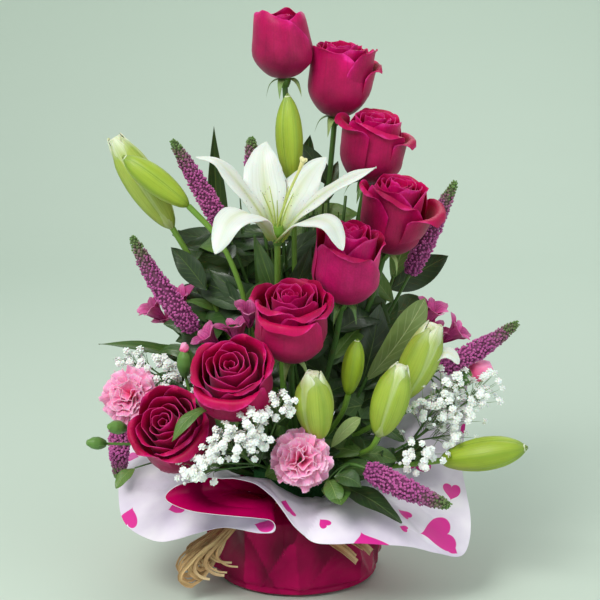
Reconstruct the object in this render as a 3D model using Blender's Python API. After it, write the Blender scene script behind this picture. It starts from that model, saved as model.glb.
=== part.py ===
# A rose arrangement: eight rose stems, an open lily, lily buds, veronica spikes, spray
# carnations, gypsophila, alstroemeria and foliage, all pushed into a block of wet floral
# foam. The foam stands in a shallow plastic bowl, and the bowl is wrapped in one square
# sheet of two-coloured film that a raffia tie gathers above the rim.
#
# Frame: metres, +Z up, -Y is the front. The origin is the middle of the flat underside.

import math

import bmesh
import bpy
from mathutils import Vector

# ---------------------------------------------------------------- driving dimensions
MM = 0.001
GAP = 0.35 * MM  # kept between two pieces that touch

BOWL_FOOT_RADIUS = 52 * MM
BOWL_RIM_RADIUS = 62 * MM
BOWL_HEIGHT = 58 * MM
BOWL_WALL = 2 * MM

FOAM_HALF = 36 * MM
FOAM_CORNER_CUT = 10 * MM
FOAM_TOP = 98 * MM

FILM = 0.9 * MM  # thickness of the wrap
WRAP_FOOT_RADIUS = 64 * MM
WRAP_SIDE_RADIUS = 71 * MM
NECK_RADIUS = 52.5 * MM
NECK_HEIGHT = 77 * MM

SINK = 17 * MM  # how deep a stem is pushed into the top of the foam
SIDE_SINK = 11 * MM  # and into its sides
STEM_STATIONS = 6


def mm(x, y, z):
    return Vector((x, y, z)) * MM


# ------------------------------------------------------------------------- materials
def material(name, colour, roughness, metallic=0.0):
    made = bpy.data.materials.get(name)
    if made:
        return made
    made = bpy.data.materials.new(name)
    made.use_nodes = True
    shader = made.node_tree.nodes["Principled BSDF"]
    shader.inputs["Base Color"].default_value = (*colour, 1.0)
    shader.inputs["Roughness"].default_value = roughness
    shader.inputs["Metallic"].default_value = metallic
    return made


def rose_red():
    return material("rose_petal", (0.55, 0.01, 0.13), 0.5)


def stem_green():
    return material("stem", (0.10, 0.22, 0.05), 0.5)


def leaf_green():
    return material("leaf", (0.05, 0.16, 0.04), 0.45)


def bud_green():
    return material("lily_bud", (0.45, 0.62, 0.12), 0.4)


# ------------------------------------------------------------------- meshes and paths
def clear_scene():
    for old in list(bpy.data.objects):
        bpy.data.objects.remove(old, do_unlink=True)


def finish(name, bm, look, smooth_below=50, closed=True):
    """Turns a bmesh into the named object, with its faces pointing outwards."""
    if closed:
        bmesh.ops.recalc_face_normals(bm, faces=bm.faces)
    mesh = bpy.data.meshes.new(name)
    bm.to_mesh(mesh)
    bm.free()
    mesh.shade_smooth()
    mesh.set_sharp_from_angle(angle=math.radians(smooth_below))
    mesh.materials.append(look)
    made = bpy.data.objects.new(name, mesh)
    bpy.context.scene.collection.objects.link(made)
    return made


def bezier(a, b, c, d, t):
    s = 1 - t
    return a * s**3 + b * (3 * s * s * t) + c * (3 * s * t * t) + d * t**3


def curve_through(points, steps, closed=False):
    """Points of a smooth curve through the given points, with steps stretches between two."""
    n = len(points)
    spans = n if closed else n - 1
    found = []
    for i in range(spans):
        if closed:
            p = [points[(i + k) % n] for k in (-1, 0, 1, 2)]
        else:
            p = [points[min(max(i + k, 0), n - 1)] for k in (-1, 0, 1, 2)]
        for step in range(steps):
            t = step / steps
            found.append(
                0.5
                * (
                    2 * p[1]
                    + (p[2] - p[0]) * t
                    + (2 * p[0] - 5 * p[1] + 4 * p[2] - p[3]) * t**2
                    + (3 * p[1] - p[0] - 3 * p[2] + p[3]) * t**3
                )
            )
    if not closed:
        found.append(points[-1].copy())
    return found


def lengths_along(points):
    """How far along the line each point lies, from 0 to 1."""
    run = [0.0]
    for a, b in zip(points, points[1:]):
        run.append(run[-1] + (b - a).length)
    return [r / run[-1] for r in run]


def read_profile(profile, t):
    """The value at t of a list of (t, value) pairs, with an eased step between two."""
    for (t0, v0), (t1, v1) in zip(profile, profile[1:]):
        if t <= t1:
            share = (t - t0) / (t1 - t0)
            return v0 + (v1 - v0) * share
    return profile[-1][1]


def tangents(points):
    last = len(points) - 1
    return [
        (points[min(i + 1, last)] - points[max(i - 1, 0)]).normalized()
        for i in range(len(points))
    ]


def ring_corners(centre, along, facing, half_width, half_thick, sides):
    """Corners of an oval section: half_width across, half_thick along the facing side."""
    up = (facing - along * facing.dot(along)).normalized()
    across = up.cross(along)
    return [
        centre
        + across * (half_width * math.cos(math.tau * k / sides))
        + up * (half_thick * math.sin(math.tau * k / sides))
        for k in range(sides)
    ]


def side_vector(along):
    """Some direction square to the given one, which changes slowly as that one turns."""
    base = Vector((0, 1, 0)) if abs(along.y) < 0.9 else Vector((1, 0, 0))
    return (base - along * base.dot(along)).normalized()


def tube(bm, points, radii, sides):
    """A closed round tube, and its side faces as one list for each stretch."""
    along = tangents(points)
    facing = side_vector(along[0])
    rings = []
    for point, direction, radius in zip(points, along, radii):
        facing = (facing - direction * facing.dot(direction)).normalized()
        corners = ring_corners(point, direction, facing, radius, radius, sides)
        rings.append([bm.verts.new(c) for c in corners])
    stretches = []
    for low, high in zip(rings, rings[1:]):
        stretches.append(
            [
                bm.faces.new((low[k], low[(k + 1) % sides], high[(k + 1) % sides], high[k]))
                for k in range(sides)
            ]
        )
    foot = bm.faces.new(list(reversed(rings[0])))
    head = bm.faces.new(rings[-1])
    return stretches, foot, head


def grow(bm, face, points, facing, half_widths, half_thicks):
    """Extrudes one four-sided face along the points as a flat leaf, petal or twig."""
    along = tangents(points)
    bm.normal_update()
    for point, direction, width, thick in zip(points, along, half_widths, half_thicks):
        corners = ring_corners(point, direction, facing, width, thick, 4)
        face = bmesh.ops.extrude_discrete_faces(bm, faces=[face])["faces"][0]
        verts = list(face.verts)
        best = min(
            range(4),
            key=lambda shift: sum(
                (verts[k].co - corners[(k + shift) % 4]).length for k in range(4)
            ),
        )
        for k, vert in enumerate(verts):
            vert.co = corners[(k + best) % 4]
        split_sides(bm, face, point)
    return face


def split_sides(bm, face, middle):
    """Splits the faces round a new ring from its outer points, so that the two sides of a thin
    leaf bend alike and never pass through each other."""
    for edge in list(face.edges):
        outer = max(edge.verts, key=lambda vert: (vert.co - middle).length)
        side = next(other for other in edge.link_faces if other is not face)
        if len(side.verts) == 4:
            kept = [loop.vert for loop in side.loops]
            bmesh.utils.face_split(side, outer, kept[(kept.index(outer) + 2) % 4])


def best_face(faces, towards):
    """Of these faces, the one that looks most along the given direction."""
    for face in faces:
        face.normal_update()
    return max(faces, key=lambda face: face.normal.dot(towards))


def polar_solid(rings, segments, wave):
    """A closed solid round Z. Each ring is (radius, height, wave size, waves, turn)."""
    bm = bmesh.new()
    loops = []
    for radius, height, size, waves, turn in rings:
        if radius == 0:
            loops.append([bm.verts.new((0, 0, height))])
            continue
        loop = []
        for k in range(segments):
            angle = math.tau * k / segments
            lift = size * math.cos(waves * angle + turn)
            r = radius * (1 + lift)
            loop.append(
                bm.verts.new((r * math.cos(angle), r * math.sin(angle), height + wave * lift))
            )
        loops.append(loop)
    for low, high in zip(loops, loops[1:]):
        for k in range(segments):
            nxt = (k + 1) % segments
            if len(low) == 1:
                bm.faces.new((low[0], high[nxt], high[k]))
            elif len(high) == 1:
                bm.faces.new((low[k], low[nxt], high[0]))
            else:
                bm.faces.new((low[k], low[nxt], high[nxt], high[k]))
    return bm


def stand_on(bm, foot, axis, turn=0.0):
    """Turns a bmesh built round Z so that it stands at foot along axis."""
    spin = Vector((0, 0, 1)).rotation_difference(axis.normalized()).to_matrix().to_4x4()
    for vert in bm.verts:
        co = vert.co
        c, s = math.cos(turn), math.sin(turn)
        turned = Vector((co.x * c - co.y * s, co.x * s + co.y * c, co.z))
        vert.co = spin @ turned + foot


# ----------------------------------------------------------------------------- stems
foam_holes = []  # (points, radius, sides) of each stem where it lies in the foam


def lead_in(entry, onward):
    """The direction of a stem at the foam, steeper when it enters the top, and its depth."""
    low = entry.z < FOAM_TOP - MM
    lead = (onward - entry).normalized() + Vector((0, 0, 0.0 if low else 0.7))
    return lead.normalized(), SIDE_SINK if low else SINK


def stem_points(entry, neck, axis):
    """A cut stem: straight in the foam, then a smooth curve that reaches neck along axis."""
    reach = (neck - entry).length
    lead, depth = lead_in(entry, neck)
    a = entry
    b = entry + lead * (reach * 0.33)
    c = neck - axis.normalized() * (reach * 0.3)
    curve = [bezier(a, b, c, neck, k / STEM_STATIONS) for k in range(STEM_STATIONS + 1)]
    return [entry - lead * depth] + curve


def note_hole(points, radius, sides):
    """Remembers the stretch of a stem that the foam has to leave room for."""
    lead = (points[1] - points[0]).normalized()
    foot = points[0] - lead * 2 * GAP
    foam_holes.append(([foot] + points[1:4], radius + 1.3 * GAP, sides))


def stem(bm, entry, neck, axis, radius, sides=5, head=()):
    """A stem up to neck, and beyond it the (distance, radius) pairs of head along axis."""
    points = stem_points(entry, neck, axis)
    radii = [radius] * len(points)
    note_hole(points, radius, sides)
    for distance, wide in head:
        points.append(neck + axis.normalized() * distance)
        radii.append(wide)
    return tube(bm, points, radii, sides), points


# ------------------------------------------------------------------------ the holder
def bowl():
    """A turned shallow bowl with a rolled rim, open at the top."""
    foot = FILM + GAP
    profile = [
        (0, foot),
        (BOWL_FOOT_RADIUS, foot),
        (BOWL_FOOT_RADIUS + 3 * MM, foot + 3 * MM),
        (BOWL_RIM_RADIUS, BOWL_HEIGHT - 3 * MM),
        (BOWL_RIM_RADIUS + 1.5 * MM, BOWL_HEIGHT - 2 * MM),
        (BOWL_RIM_RADIUS + 1.5 * MM, BOWL_HEIGHT),
        (BOWL_RIM_RADIUS - BOWL_WALL, BOWL_HEIGHT),
        (BOWL_FOOT_RADIUS + 3 * MM - BOWL_WALL, foot + 4 * MM),
        (BOWL_FOOT_RADIUS - BOWL_WALL, foot + BOWL_WALL),
        (0, foot + BOWL_WALL),
    ]
    rings = [(radius, height, 0, 0, 0) for radius, height in profile]
    bm = polar_solid(rings, 28, 0)
    return finish("bowl", bm, material("bowl_plastic", (0.05, 0.12, 0.06), 0.35))


def foam():
    """The floral foam block, with its upright corners cut off and a hole for every stem."""
    bm = bmesh.new()
    near = FOAM_HALF - FOAM_CORNER_CUT
    corners = []
    for sx, sy in ((1, 1), (-1, 1), (-1, -1), (1, -1)):
        pair = [(sx * FOAM_HALF, sy * near), (sx * near, sy * FOAM_HALF)]
        corners += pair if sx * sy > 0 else pair[::-1]
    base = [bm.verts.new((x, y, FILM + 2 * GAP + BOWL_WALL)) for x, y in corners]
    bed = bm.faces.new(base)
    lifted = bmesh.ops.extrude_face_region(bm, geom=[bed])["geom"]
    for vert in lifted:
        if isinstance(vert, bmesh.types.BMVert):
            vert.co.z = FOAM_TOP
    block = finish("floral_foam", bm, material("foam", (0.05, 0.20, 0.09), 0.95), 20)

    cut = bmesh.new()
    for points, radius, sides in foam_holes:
        tube(cut, points, [radius] * len(points), sides)
    cutter = finish("stem_holes", cut, stem_green())
    cutter.hide_render = True
    cutter.display_type = "WIRE"
    holes = block.modifiers.new("holes", "BOOLEAN")
    holes.operation = "DIFFERENCE"
    holes.solver = "EXACT"
    holes.object = cutter
    return block


# The cut edge of the wrap as it hangs, once round from the left over the front, and how
# far the film arches above the straight line from the neck to it. The film is doubled
# back on itself at the front left, where it makes a scroll of three layers.
WRAP_EDGE = (
    (-148, 28, 98, 8),
    (-152, -8, 88, 10),
    (-150, -36, 70, 14),
    (-140, -62, 59, 18),
    (-112, -86, 55, 18),
    (-84, -94, 64, 12),
    (-58, -102, 73, 8),
    (-34, -114, 74, 8),
    (-18, -121, 77, 8),
    (-20, -122, 87, 8),
    (-46, -123, 91, 8),
    (-82, -122, 95, 8),
    (-103, -119, 104, 8),
    (-92, -112, 113, 8),
    (-62, -106, 116, 8),
    (-34, -108, 112, 8),
    (-12, -116, 92, 10),
    (12, -123, 69, 13),
    (48, -127, 69, 13),
    (92, -114, 61, 16),
    (136, -84, 42, 22),
    (146, -56, 66, 14),
    (143, -12, 98, 9),
    (150, 34, 163, 0),
    (124, 74, 156, 0),
    (84, 100, 130, 4),
    (36, 112, 108, 8),
    (-14, 112, 102, 8),
    (-62, 100, 114, 6),
    (-104, 78, 130, 4),
    (-132, 54, 120, 6),
)
SCROLL = (6, 16)  # the first and last of these points that belong to the scroll
WRAP_STEPS = 2  # columns of faces between two points of the edge
COLLAR_ROWS = 6


def neck_angles(edge):
    """Where round the neck each column starts: below its own edge, closer in the scroll."""
    angles = [math.atan2(-point.y, -point.x) % math.tau for point in edge]
    if angles[0] > math.pi:
        angles[0] -= math.tau
    for k in range(1, len(angles)):
        if angles[k] < angles[0] - 0.3:
            angles[k] += math.tau
    first, last = (index * WRAP_STEPS for index in SCROLL)
    for k in range(first, last):
        share = (k - first) / (last - first)
        angles[k] = angles[first] * (1 - share) + angles[last] * share
    return [angle + math.pi for angle in angles]


def collar_point(neck, edge, arch, t):
    """A point of the collar: it rises from the neck, arches over and falls to the edge."""
    return neck.lerp(edge, t) + Vector((0, 0, arch * math.sin(math.pi * t)))


def wrap():
    """The square of film, from under the bowl up to the neck and out to its cut edge."""
    edge = curve_through([mm(x, y, z) for x, y, z, _ in WRAP_EDGE], WRAP_STEPS, closed=True)
    arches = curve_through([mm(0, 0, arch) for *_, arch in WRAP_EDGE], WRAP_STEPS, closed=True)
    angles = neck_angles(edge)
    count = len(edge)
    side = [
        (WRAP_FOOT_RADIUS, 0),
        (WRAP_SIDE_RADIUS - 2 * MM, 8 * MM),
        (WRAP_SIDE_RADIUS, 26 * MM),
        (WRAP_SIDE_RADIUS - 3 * MM, 48 * MM),
        (BOWL_RIM_RADIUS + 5 * MM, BOWL_HEIGHT + 3 * MM),
        (NECK_RADIUS, NECK_HEIGHT - 4 * MM),
        (NECK_RADIUS, NECK_HEIGHT + 3 * MM),
    ]
    bm = bmesh.new()
    centre = bm.verts.new((0, 0, 0))
    rows = []
    for radius, height in side:
        row = []
        for k in range(count):
            x, y = math.cos(angles[k]), math.sin(angles[k])
            row.append(bm.verts.new((radius * x, radius * y, height)))
        rows.append(row)
    necks = [vert.co.copy() for vert in rows[-1]]
    for step in range(1, COLLAR_ROWS + 1):
        t = step / COLLAR_ROWS
        lifted = [collar_point(necks[k], edge[k], arches[k].z, t) for k in range(count)]
        rows.append([bm.verts.new(point) for point in lifted])
    for k in range(count):
        nxt = (k + 1) % count
        bm.faces.new((centre, rows[0][nxt], rows[0][k]))
        for low, high in zip(rows, rows[1:]):
            bm.faces.new((low[k], low[nxt], high[nxt], high[k]))
    sheet = finish("wrap_sheet", bm, material("wrap_film", (0.45, 0.01, 0.12), 0.25), 80, False)
    solid = sheet.modifiers.new("film", "SOLIDIFY")
    solid.thickness = FILM
    solid.offset = -1
    solid.use_even_offset = False
    return sheet


RAFFIA_LOOP = (
    (-39.1, -41.8, 76), (-52, -59, 65), (-74, -72, 48), (-95, -78, 32), (-99, -78, 20),
    (-90, -75, 13), (-76, -70, 22), (-64, -64, 40),
)
RAFFIA_END = ((34.7, -45.0, 76), (46, -60, 64), (58, -70, 46))
RAFFIA_OTHER_END = ((46, -72, 50), (46, -80, 36))


def straw():
    return material("raffia", (0.62, 0.45, 0.24), 0.8)


def raffia_loops():
    """The knot of the tie at the left, and the loops that hang from it."""
    bm = bmesh.new()
    line = curve_through([mm(*p) for p in RAFFIA_LOOP], 2)
    tube(bm, line, [5 * MM, 4.6 * MM] + [3 * MM] * (len(line) - 3) + [2 * MM], 6)
    return finish("raffia_loops", bm, straw())


def raffia_ends():
    """The two cut ends of the tie, at the right of the neck."""
    bm = bmesh.new()
    line = curve_through([mm(*p) for p in RAFFIA_END], 2)
    stretches, _, _ = tube(bm, line, [4 * MM, 4 * MM, 3.5 * MM, 3 * MM, 3 * MM], 4)
    points = [mm(*p) for p in RAFFIA_OTHER_END]
    face = best_face(stretches[1], points[1] - line[2])
    grow(bm, face, points, Vector((0, -1, 0.3)), [2.6 * MM, 3 * MM], [1.2 * MM, 1.2 * MM])
    return finish("raffia_ends", bm, straw())


def raffia_tie():
    """The band of raffia round the neck of the wrap."""
    bm = bmesh.new()
    columns = 28
    inner = NECK_RADIUS + 2 * GAP
    section = [(0, -2.6), (2.2, -1.6), (2.2, 1.6), (0, 2.4)]
    rings = []
    for k in range(columns):
        angle = math.tau * k / columns
        ring = []
        for out, lift in section:
            radius = inner + out * MM
            x, y = radius * math.cos(angle), radius * math.sin(angle)
            ring.append(bm.verts.new((x, y, NECK_HEIGHT - MM + lift * MM)))
        rings.append(ring)
    for k in range(columns):
        a, b = rings[k], rings[(k + 1) % columns]
        for j in range(len(section)):
            i = (j + 1) % len(section)
            bm.faces.new((a[j], b[j], b[i], a[i]))
    return finish("raffia_tie", bm, straw())


# ------------------------------------------------------------------------- the roses
# neck: where the bloom meets its stem; axis: the way it looks; entry: where the stem
# goes into the foam; opened: 0 is a bud, 1 is fully open. In millimetres.
ROSES = (
    dict(neck=(-10, 52, 424), axis=(-0.07, -0.05, 1), entry=(-4, 16, 98), size=(26, 57), opened=0.1),
    dict(neck=(34, 66, 390), axis=(0.08, -0.10, 1), entry=(7, 20, 98), size=(29, 62), opened=0.3),
    dict(neck=(60, 40, 336), axis=(0.16, -0.15, 1), entry=(15, 15, 98), size=(30, 58), opened=0.45),
    dict(neck=(75, -1, 283), axis=(0.20, -0.20, 1), entry=(20, 2, 98), size=(31, 62), opened=0.7),
    dict(neck=(38, -40, 248), axis=(0.10, -0.22, 1), entry=(10, -5, 98), size=(29, 63), opened=0.4),
    dict(neck=(-4, -68, 208), axis=(0.0, -0.34, 1), entry=(1, -14, 98), size=(32, 62), opened=0.8),
    dict(neck=(-47, -84, 174), axis=(-0.10, -0.85, 1), entry=(-12, -22, 98), size=(33, 58), opened=0.8),
    dict(neck=(-89, -68, 130), axis=(-0.35, -0.75, 0.7), entry=(-36, -20, 91), size=(33, 58), opened=0.8),
)
ROSE_STEM_RADIUS = 2.4 * MM
HIP_RADIUS = 5.2 * MM


def rose_bloom(number, rose):
    """A bloom as a cup of outer petals round a wound heart."""
    radius, height = (s * MM for s in rose["size"])
    opened = rose["opened"]
    flare = 0.06 + 0.12 * opened
    rings = [
        (0, 0, 0, 0, 0),
        (0.36 * radius, 0.02 * height, 0, 0, 0),
        (0.74 * radius, 0.16 * height, 0.02, 3, 0),
        (0.93 * radius, 0.42 * height, 0.03, 3, 0.4),
        (0.92 * radius, 0.70 * height, 0.05, 3, 0.8),
        ((0.90 + flare) * radius, (0.94 - 0.10 * opened) * height, 0.08, 5, 1.2),
        ((0.80 + flare) * radius, (0.96 - 0.10 * opened) * height, 0.08, 5, 1.2),
        (0.66 * radius, (0.86 - 0.06 * opened) * height, 0.04, 3, 0),
        (0.56 * radius, 0.97 * height, 0.08, 3, 2.0),
        (0.36 * radius, (0.93 - 0.04 * opened) * height, 0.04, 3, 0),
        (0.24 * radius, 1.0 * height, 0.06, 3, 1.0),
        (0, 0.96 * height, 0, 0, 0),
    ]
    bm = polar_solid(rings, 15, 0.5 * height)
    stand_on(bm, mm(*rose["neck"]), Vector(rose["axis"]), turn=0.8 * number)
    return finish(f"rose_bloom_{number}", bm, rose_red())


def rose_stem(number, rose):
    """A cut stem with the swollen hip under the bloom and five sepals turned back."""
    bm = bmesh.new()
    axis = Vector(rose["axis"]).normalized()
    neck = mm(*rose["neck"]) - axis * (GAP + 8 * MM)
    head = [(3 * MM, HIP_RADIUS * 0.85), (6 * MM, HIP_RADIUS), (8 * MM, HIP_RADIUS * 0.8)]
    (stretches, _, _), points = stem(bm, mm(*rose["entry"]), neck, axis, ROSE_STEM_RADIUS, 5, head)
    for face in stretches[-1]:
        face.normal_update()
        out = (face.normal - axis * face.normal.dot(axis)).normalized()
        start = face.calc_center_median()
        line = [
            start + out * 4 * MM - axis * 0.5 * MM,
            start + out * 9 * MM - axis * 4 * MM,
            start + out * 12 * MM - axis * 11 * MM,
        ]
        grow(bm, face, line, axis, [3 * MM, 2.6 * MM, 0.4 * MM], [0.7 * MM, 0.6 * MM, 0.3 * MM])
    return finish(f"rose_stem_{number}", bm, stem_green())


# -------------------------------------------------------------------------- the lily
LILY_NECK = (-15, -46, 296)
LILY_AXIS = (0.02, -0.28, 1)
LILY_ENTRY = (-8, -4, 98)
# The midline of each petal from the throat to its tip, and its greatest half width.
LILY_PETALS = (
    dict(line=((-26, -50, 318), (-44, -52, 344), (-62, -52, 364), (-78, -52, 368)), half=13),
    dict(line=((-21, -38, 322), (-26, -26, 345), (-27, -14, 366), (-24, -6, 374)), half=18),
    dict(line=((-8, -36, 320), (3, -24, 340), (14, -16, 354), (24, -11, 362)), half=18),
    dict(line=((-2, -48, 316), (18, -54, 336), (42, -58, 352), (62, -58, 360)), half=13),
    dict(line=((-4, -60, 312), (14, -78, 322), (28, -92, 320), (36, -99, 303)), half=14),
    dict(line=((-25, -62, 314), (-38, -84, 328), (-52, -102, 324), (-61, -112, 303)), half=17),
)
PISTIL_LINE = ((-14.5, -50.8, 313), (-6, -52, 338), (2, -54, 356), (6, -55, 366))


def lily_flower():
    """The open lily: a throat whose six sides each carry a petal, with the pistil inside."""
    bm = bmesh.new()
    neck, axis = mm(*LILY_NECK), Vector(LILY_AXIS).normalized()
    heights = (GAP, 5 * MM, 12 * MM, 17 * MM)
    points = [neck + axis * h for h in heights]
    stretches, _, top = tube(bm, points, [2.4 * MM, 4.5 * MM, 7 * MM, 7.5 * MM], 6)
    free = list(stretches[-1])
    for petal in LILY_PETALS:
        line = [mm(*p) for p in petal["line"]]
        towards = line[1] - points[-1]
        face = best_face(free, towards)
        free.remove(face)
        half = petal["half"] * MM
        facing = axis if towards.dot(axis) < 0.9 * towards.length else -towards.cross(axis).cross(axis)
        grow(
            bm,
            face,
            line + [line[-1] + (line[-1] - line[-2]) * 0.12],
            facing,
            [0.62 * half, half, 0.72 * half, 0.25 * half, 0.05 * half],
            [1.2 * MM, 0.8 * MM, 0.7 * MM, 0.6 * MM, 0.3 * MM],
        )
    return finish("lily_flower", bm, material("lily_petal", (0.86, 0.87, 0.82), 0.45))


def lily_pistil():
    """The style and its three-lobed stigma, which stand in the throat."""
    bm = bmesh.new()
    line = curve_through([mm(*p) for p in PISTIL_LINE], 2)
    radii = [1.3 * MM] * (len(line) - 2) + [2.0 * MM, 3.4 * MM]
    tube(bm, line, radii, 6)
    return finish("lily_pistil", bm, material("pistil", (0.75, 0.78, 0.35), 0.5))


def lily_stem():
    bm = bmesh.new()
    stem(bm, mm(*LILY_ENTRY), mm(*LILY_NECK), Vector(LILY_AXIS), 2.6 * MM)
    return finish("lily_stem", bm, stem_green())


# base and tip of each bud, its greatest radius, and where its stem enters the foam
LILY_BUDS = (
    dict(base=(-3, 14, 338), tip=(-7, 14, 414), radius=11.5, entry=(-3, 6, 98)),
    dict(base=(-104, 0, 302), tip=(-152, -5, 381), radius=14.5, entry=(-23, 7, 98)),
    dict(base=(-88, -34, 326), tip=(-141, -34, 367), radius=11, entry=(-22, -4, 98)),
    dict(base=(43, -62, 174), tip=(50, -66, 222), radius=9, entry=(11, -15, 98)),
    dict(base=(18, -97, 146), tip=(13, -104, 205), radius=15.5, entry=(7, -25, 98)),
    dict(base=(67, -87, 146), tip=(85, -92, 208), radius=15, entry=(18, -22, 98)),
    dict(base=(86, -50, 166), tip=(115, -57, 233), radius=15.5, entry=(21, -10, 98)),
    dict(base=(120, -58, 116), tip=(190, -76, 133), radius=14, entry=(36, -14, 92)),
)
LILY_BUD_PROFILE = ((0.0, 0.24), (0.12, 0.55), (0.3, 0.84), (0.5, 1.0), (0.72, 0.86), (0.88, 0.55), (1.0, 0.1))


def lily_bud(number, bud):
    """A bud and its stem as one grown piece, six-sided like the real one."""
    bm = bmesh.new()
    base, tip = mm(*bud["base"]), mm(*bud["tip"])
    axis = tip - base
    head = [(t * axis.length, share * bud["radius"] * MM) for t, share in LILY_BUD_PROFILE[1:]]
    stem(bm, mm(*bud["entry"]), base, axis, 2.2 * MM, 6, head)
    return finish(f"lily_bud_{number}", bm, bud_green())


# ------------------------------------------------------------------ veronica spikes
VERONICAS = (
    dict(base=(-61, 5, 301), tip=(-103, 0, 376), radius=8, entry=(-15, 2, 98)),
    dict(base=(-29, 24, 312), tip=(-38, 22, 376), radius=8.5, entry=(-13, 13, 98)),
    dict(base=(-85, -20, 218), tip=(-136, -25, 299), radius=9, entry=(-20, -14, 98)),
    dict(base=(98, 24, 258), tip=(136, 25, 338), radius=8, entry=(23, 22, 98)),
    dict(base=(122, -2, 180), tip=(189, 0, 220), radius=8.5, entry=(36, -1, 92)),
    dict(base=(56, -103, 124), tip=(123, -116, 97), radius=9, entry=(22, -36, 92)),
    dict(base=(-150, -20, 138), tip=(-149, -42, 94), radius=8.5, entry=(-36, 4, 92)),
)
VERONICA_PROFILE = ((0.06, 0.85), (0.25, 1.0), (0.5, 0.92), (0.75, 0.66), (0.92, 0.4), (1.0, 0.15))


def veronica(number, spike):
    bm = bmesh.new()
    base, tip = mm(*spike["base"]), mm(*spike["tip"])
    axis = tip - base
    head = [(t * axis.length, share * spike["radius"] * MM) for t, share in VERONICA_PROFILE]
    stem(bm, mm(*spike["entry"]), base, axis, 1.5 * MM, 6, head)
    return finish(f"veronica_{number}", bm, material("veronica", (0.42, 0.06, 0.30), 0.7))


# ----------------------------------------------------------------------- carnations
# Each side bud of a spray carnation: where it leaves the stem, its tip and its radius.
CARNATIONS = (
    dict(neck=(-138, -33, 164), axis=(-0.40, -0.82, 0.40), entry=(-36, -8, 92), radius=26,
         buds=((3, (-152, -80, 152), 6.5), (2, (-172, -66, 134), 6))),
    dict(neck=(4, -105, 132), axis=(0.0, -0.95, 0.25), entry=(0, -36, 91), radius=25, buds=()),
)
CARNATION_BUDS = (
    dict(base=(140, 2, 169), tip=(168, 2, 182), radius=9, entry=(36, 12, 91)),
    dict(base=(-92, -46, 187), tip=(-92, -48, 214), radius=7, entry=(-23, -23, 98)),
)


def carnation_bloom(number, flower):
    """A domed, ruffled head of petals above its calyx."""
    radius = flower["radius"] * MM
    height = 1.15 * radius
    rings = [
        (0, 0, 0, 0, 0),
        (0.22 * radius, 0.02 * height, 0, 0, 0),
        (0.70 * radius, 0.26 * height, 0.06, 5, 0),
        (1.0 * radius, 0.50 * height, 0.08, 5, 0.5),
        (0.86 * radius, 0.72 * height, 0.10, 5, 1.5),
        (0.50 * radius, 0.92 * height, 0.10, 5, 2.5),
        (0, 0.96 * height, 0, 0, 0),
    ]
    bm = polar_solid(rings, 15, 0.3 * height)
    stand_on(bm, mm(*flower["neck"]), Vector(flower["axis"]))
    return finish(f"carnation_bloom_{number}", bm, material("carnation", (0.85, 0.32, 0.52), 0.6))


def carnation_stem(number, flower):
    """The stem and the tubular calyx that holds the petals."""
    bm = bmesh.new()
    axis = Vector(flower["axis"]).normalized()
    neck = mm(*flower["neck"]) - axis * (GAP + 18 * MM)
    head = [(2 * MM, 4 * MM), (7 * MM, 5.5 * MM), (14 * MM, 5.5 * MM), (18 * MM, 5 * MM)]
    (stretches, _, _), _ = stem(bm, mm(*flower["entry"]), neck, axis, 1.5 * MM, 5, head)
    for stretch, tip, radius in flower["buds"]:
        tip = mm(*tip)
        face = best_face(stretches[stretch], tip - stretches[stretch][0].calc_center_median())
        start, size = face.calc_center_median(), radius * MM
        out = (tip - start).normalized()
        line = [start.lerp(tip, 0.3) + Vector((0, 0, 3 * MM))]
        line += [tip - out * size * far for far in (3.2, 2.4, 1.1, 0)]
        width = [1.3 * MM, 1.5 * MM, 0.9 * size, size, 0.25 * size]
        grow(bm, face, line, side_vector(out), width, width)
    return finish(f"carnation_stem_{number}", bm, stem_green())


def carnation_bud(number, bud):
    bm = bmesh.new()
    base, tip = mm(*bud["base"]), mm(*bud["tip"])
    axis = tip - base
    profile = ((0.12, 0.75), (0.35, 1.0), (0.62, 0.95), (0.85, 0.6), (1.0, 0.15))
    head = [(t * axis.length, share * bud["radius"] * MM) for t, share in profile]
    stem(bm, mm(*bud["entry"]), base, axis, 1.3 * MM, 6, head)
    return finish(f"carnation_bud_{number}", bm, stem_green())


# --------------------------------------------- branching stems: small flowers, leaves
def spray(name, entry, spine, ends, blob, twig, look):
    """A main stem with twigs that each end in a knot of flowers."""
    bm = bmesh.new()
    line = curve_through([mm(*entry)] + [mm(*p) for p in spine], 3)
    lead, depth = lead_in(line[0], line[2])
    points = [line[0] - lead * depth] + line
    radius = 1.2 * MM
    note_hole(points, radius, 5)
    radii = [radius] * (len(points) - 3) + [radius, blob * 0.8 * MM, blob * MM, blob * 0.5 * MM]
    tip = points[-1]
    last = (points[-1] - points[-2]).normalized()
    points = points + [tip + last * blob * MM]
    radii = radii[: len(points)]
    stretches, _, _ = tube(bm, points, radii, 5)
    used = set()
    for end in ends:
        goal = mm(*end)
        usable = [
            face
            for stretch in stretches[3:-4]
            for face in stretch
            if face not in used
        ]
        face = min(
            usable,
            key=lambda f: (f.calc_center_median() - goal).length
            - 8 * MM * best_look(f, goal),
        )
        used.add(face)
        start = face.calc_center_median()
        out = (goal - start).normalized()
        across = side_vector(out)
        size = blob * MM
        line = [
            start + (goal - start) * 0.3,
            goal - out * size * 1.1,
            goal - out * size * 0.4,
            goal + out * size * 0.4,
            goal + out * size,
        ]
        width = [twig * MM, twig * MM, 0.9 * size, 1.1 * size, 0.4 * size]
        grow(bm, face, line, across, width, width)
    return finish(name, bm, look)


def best_look(face, goal):
    face.normal_update()
    return face.normal.dot((goal - face.calc_center_median()).normalized())


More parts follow.
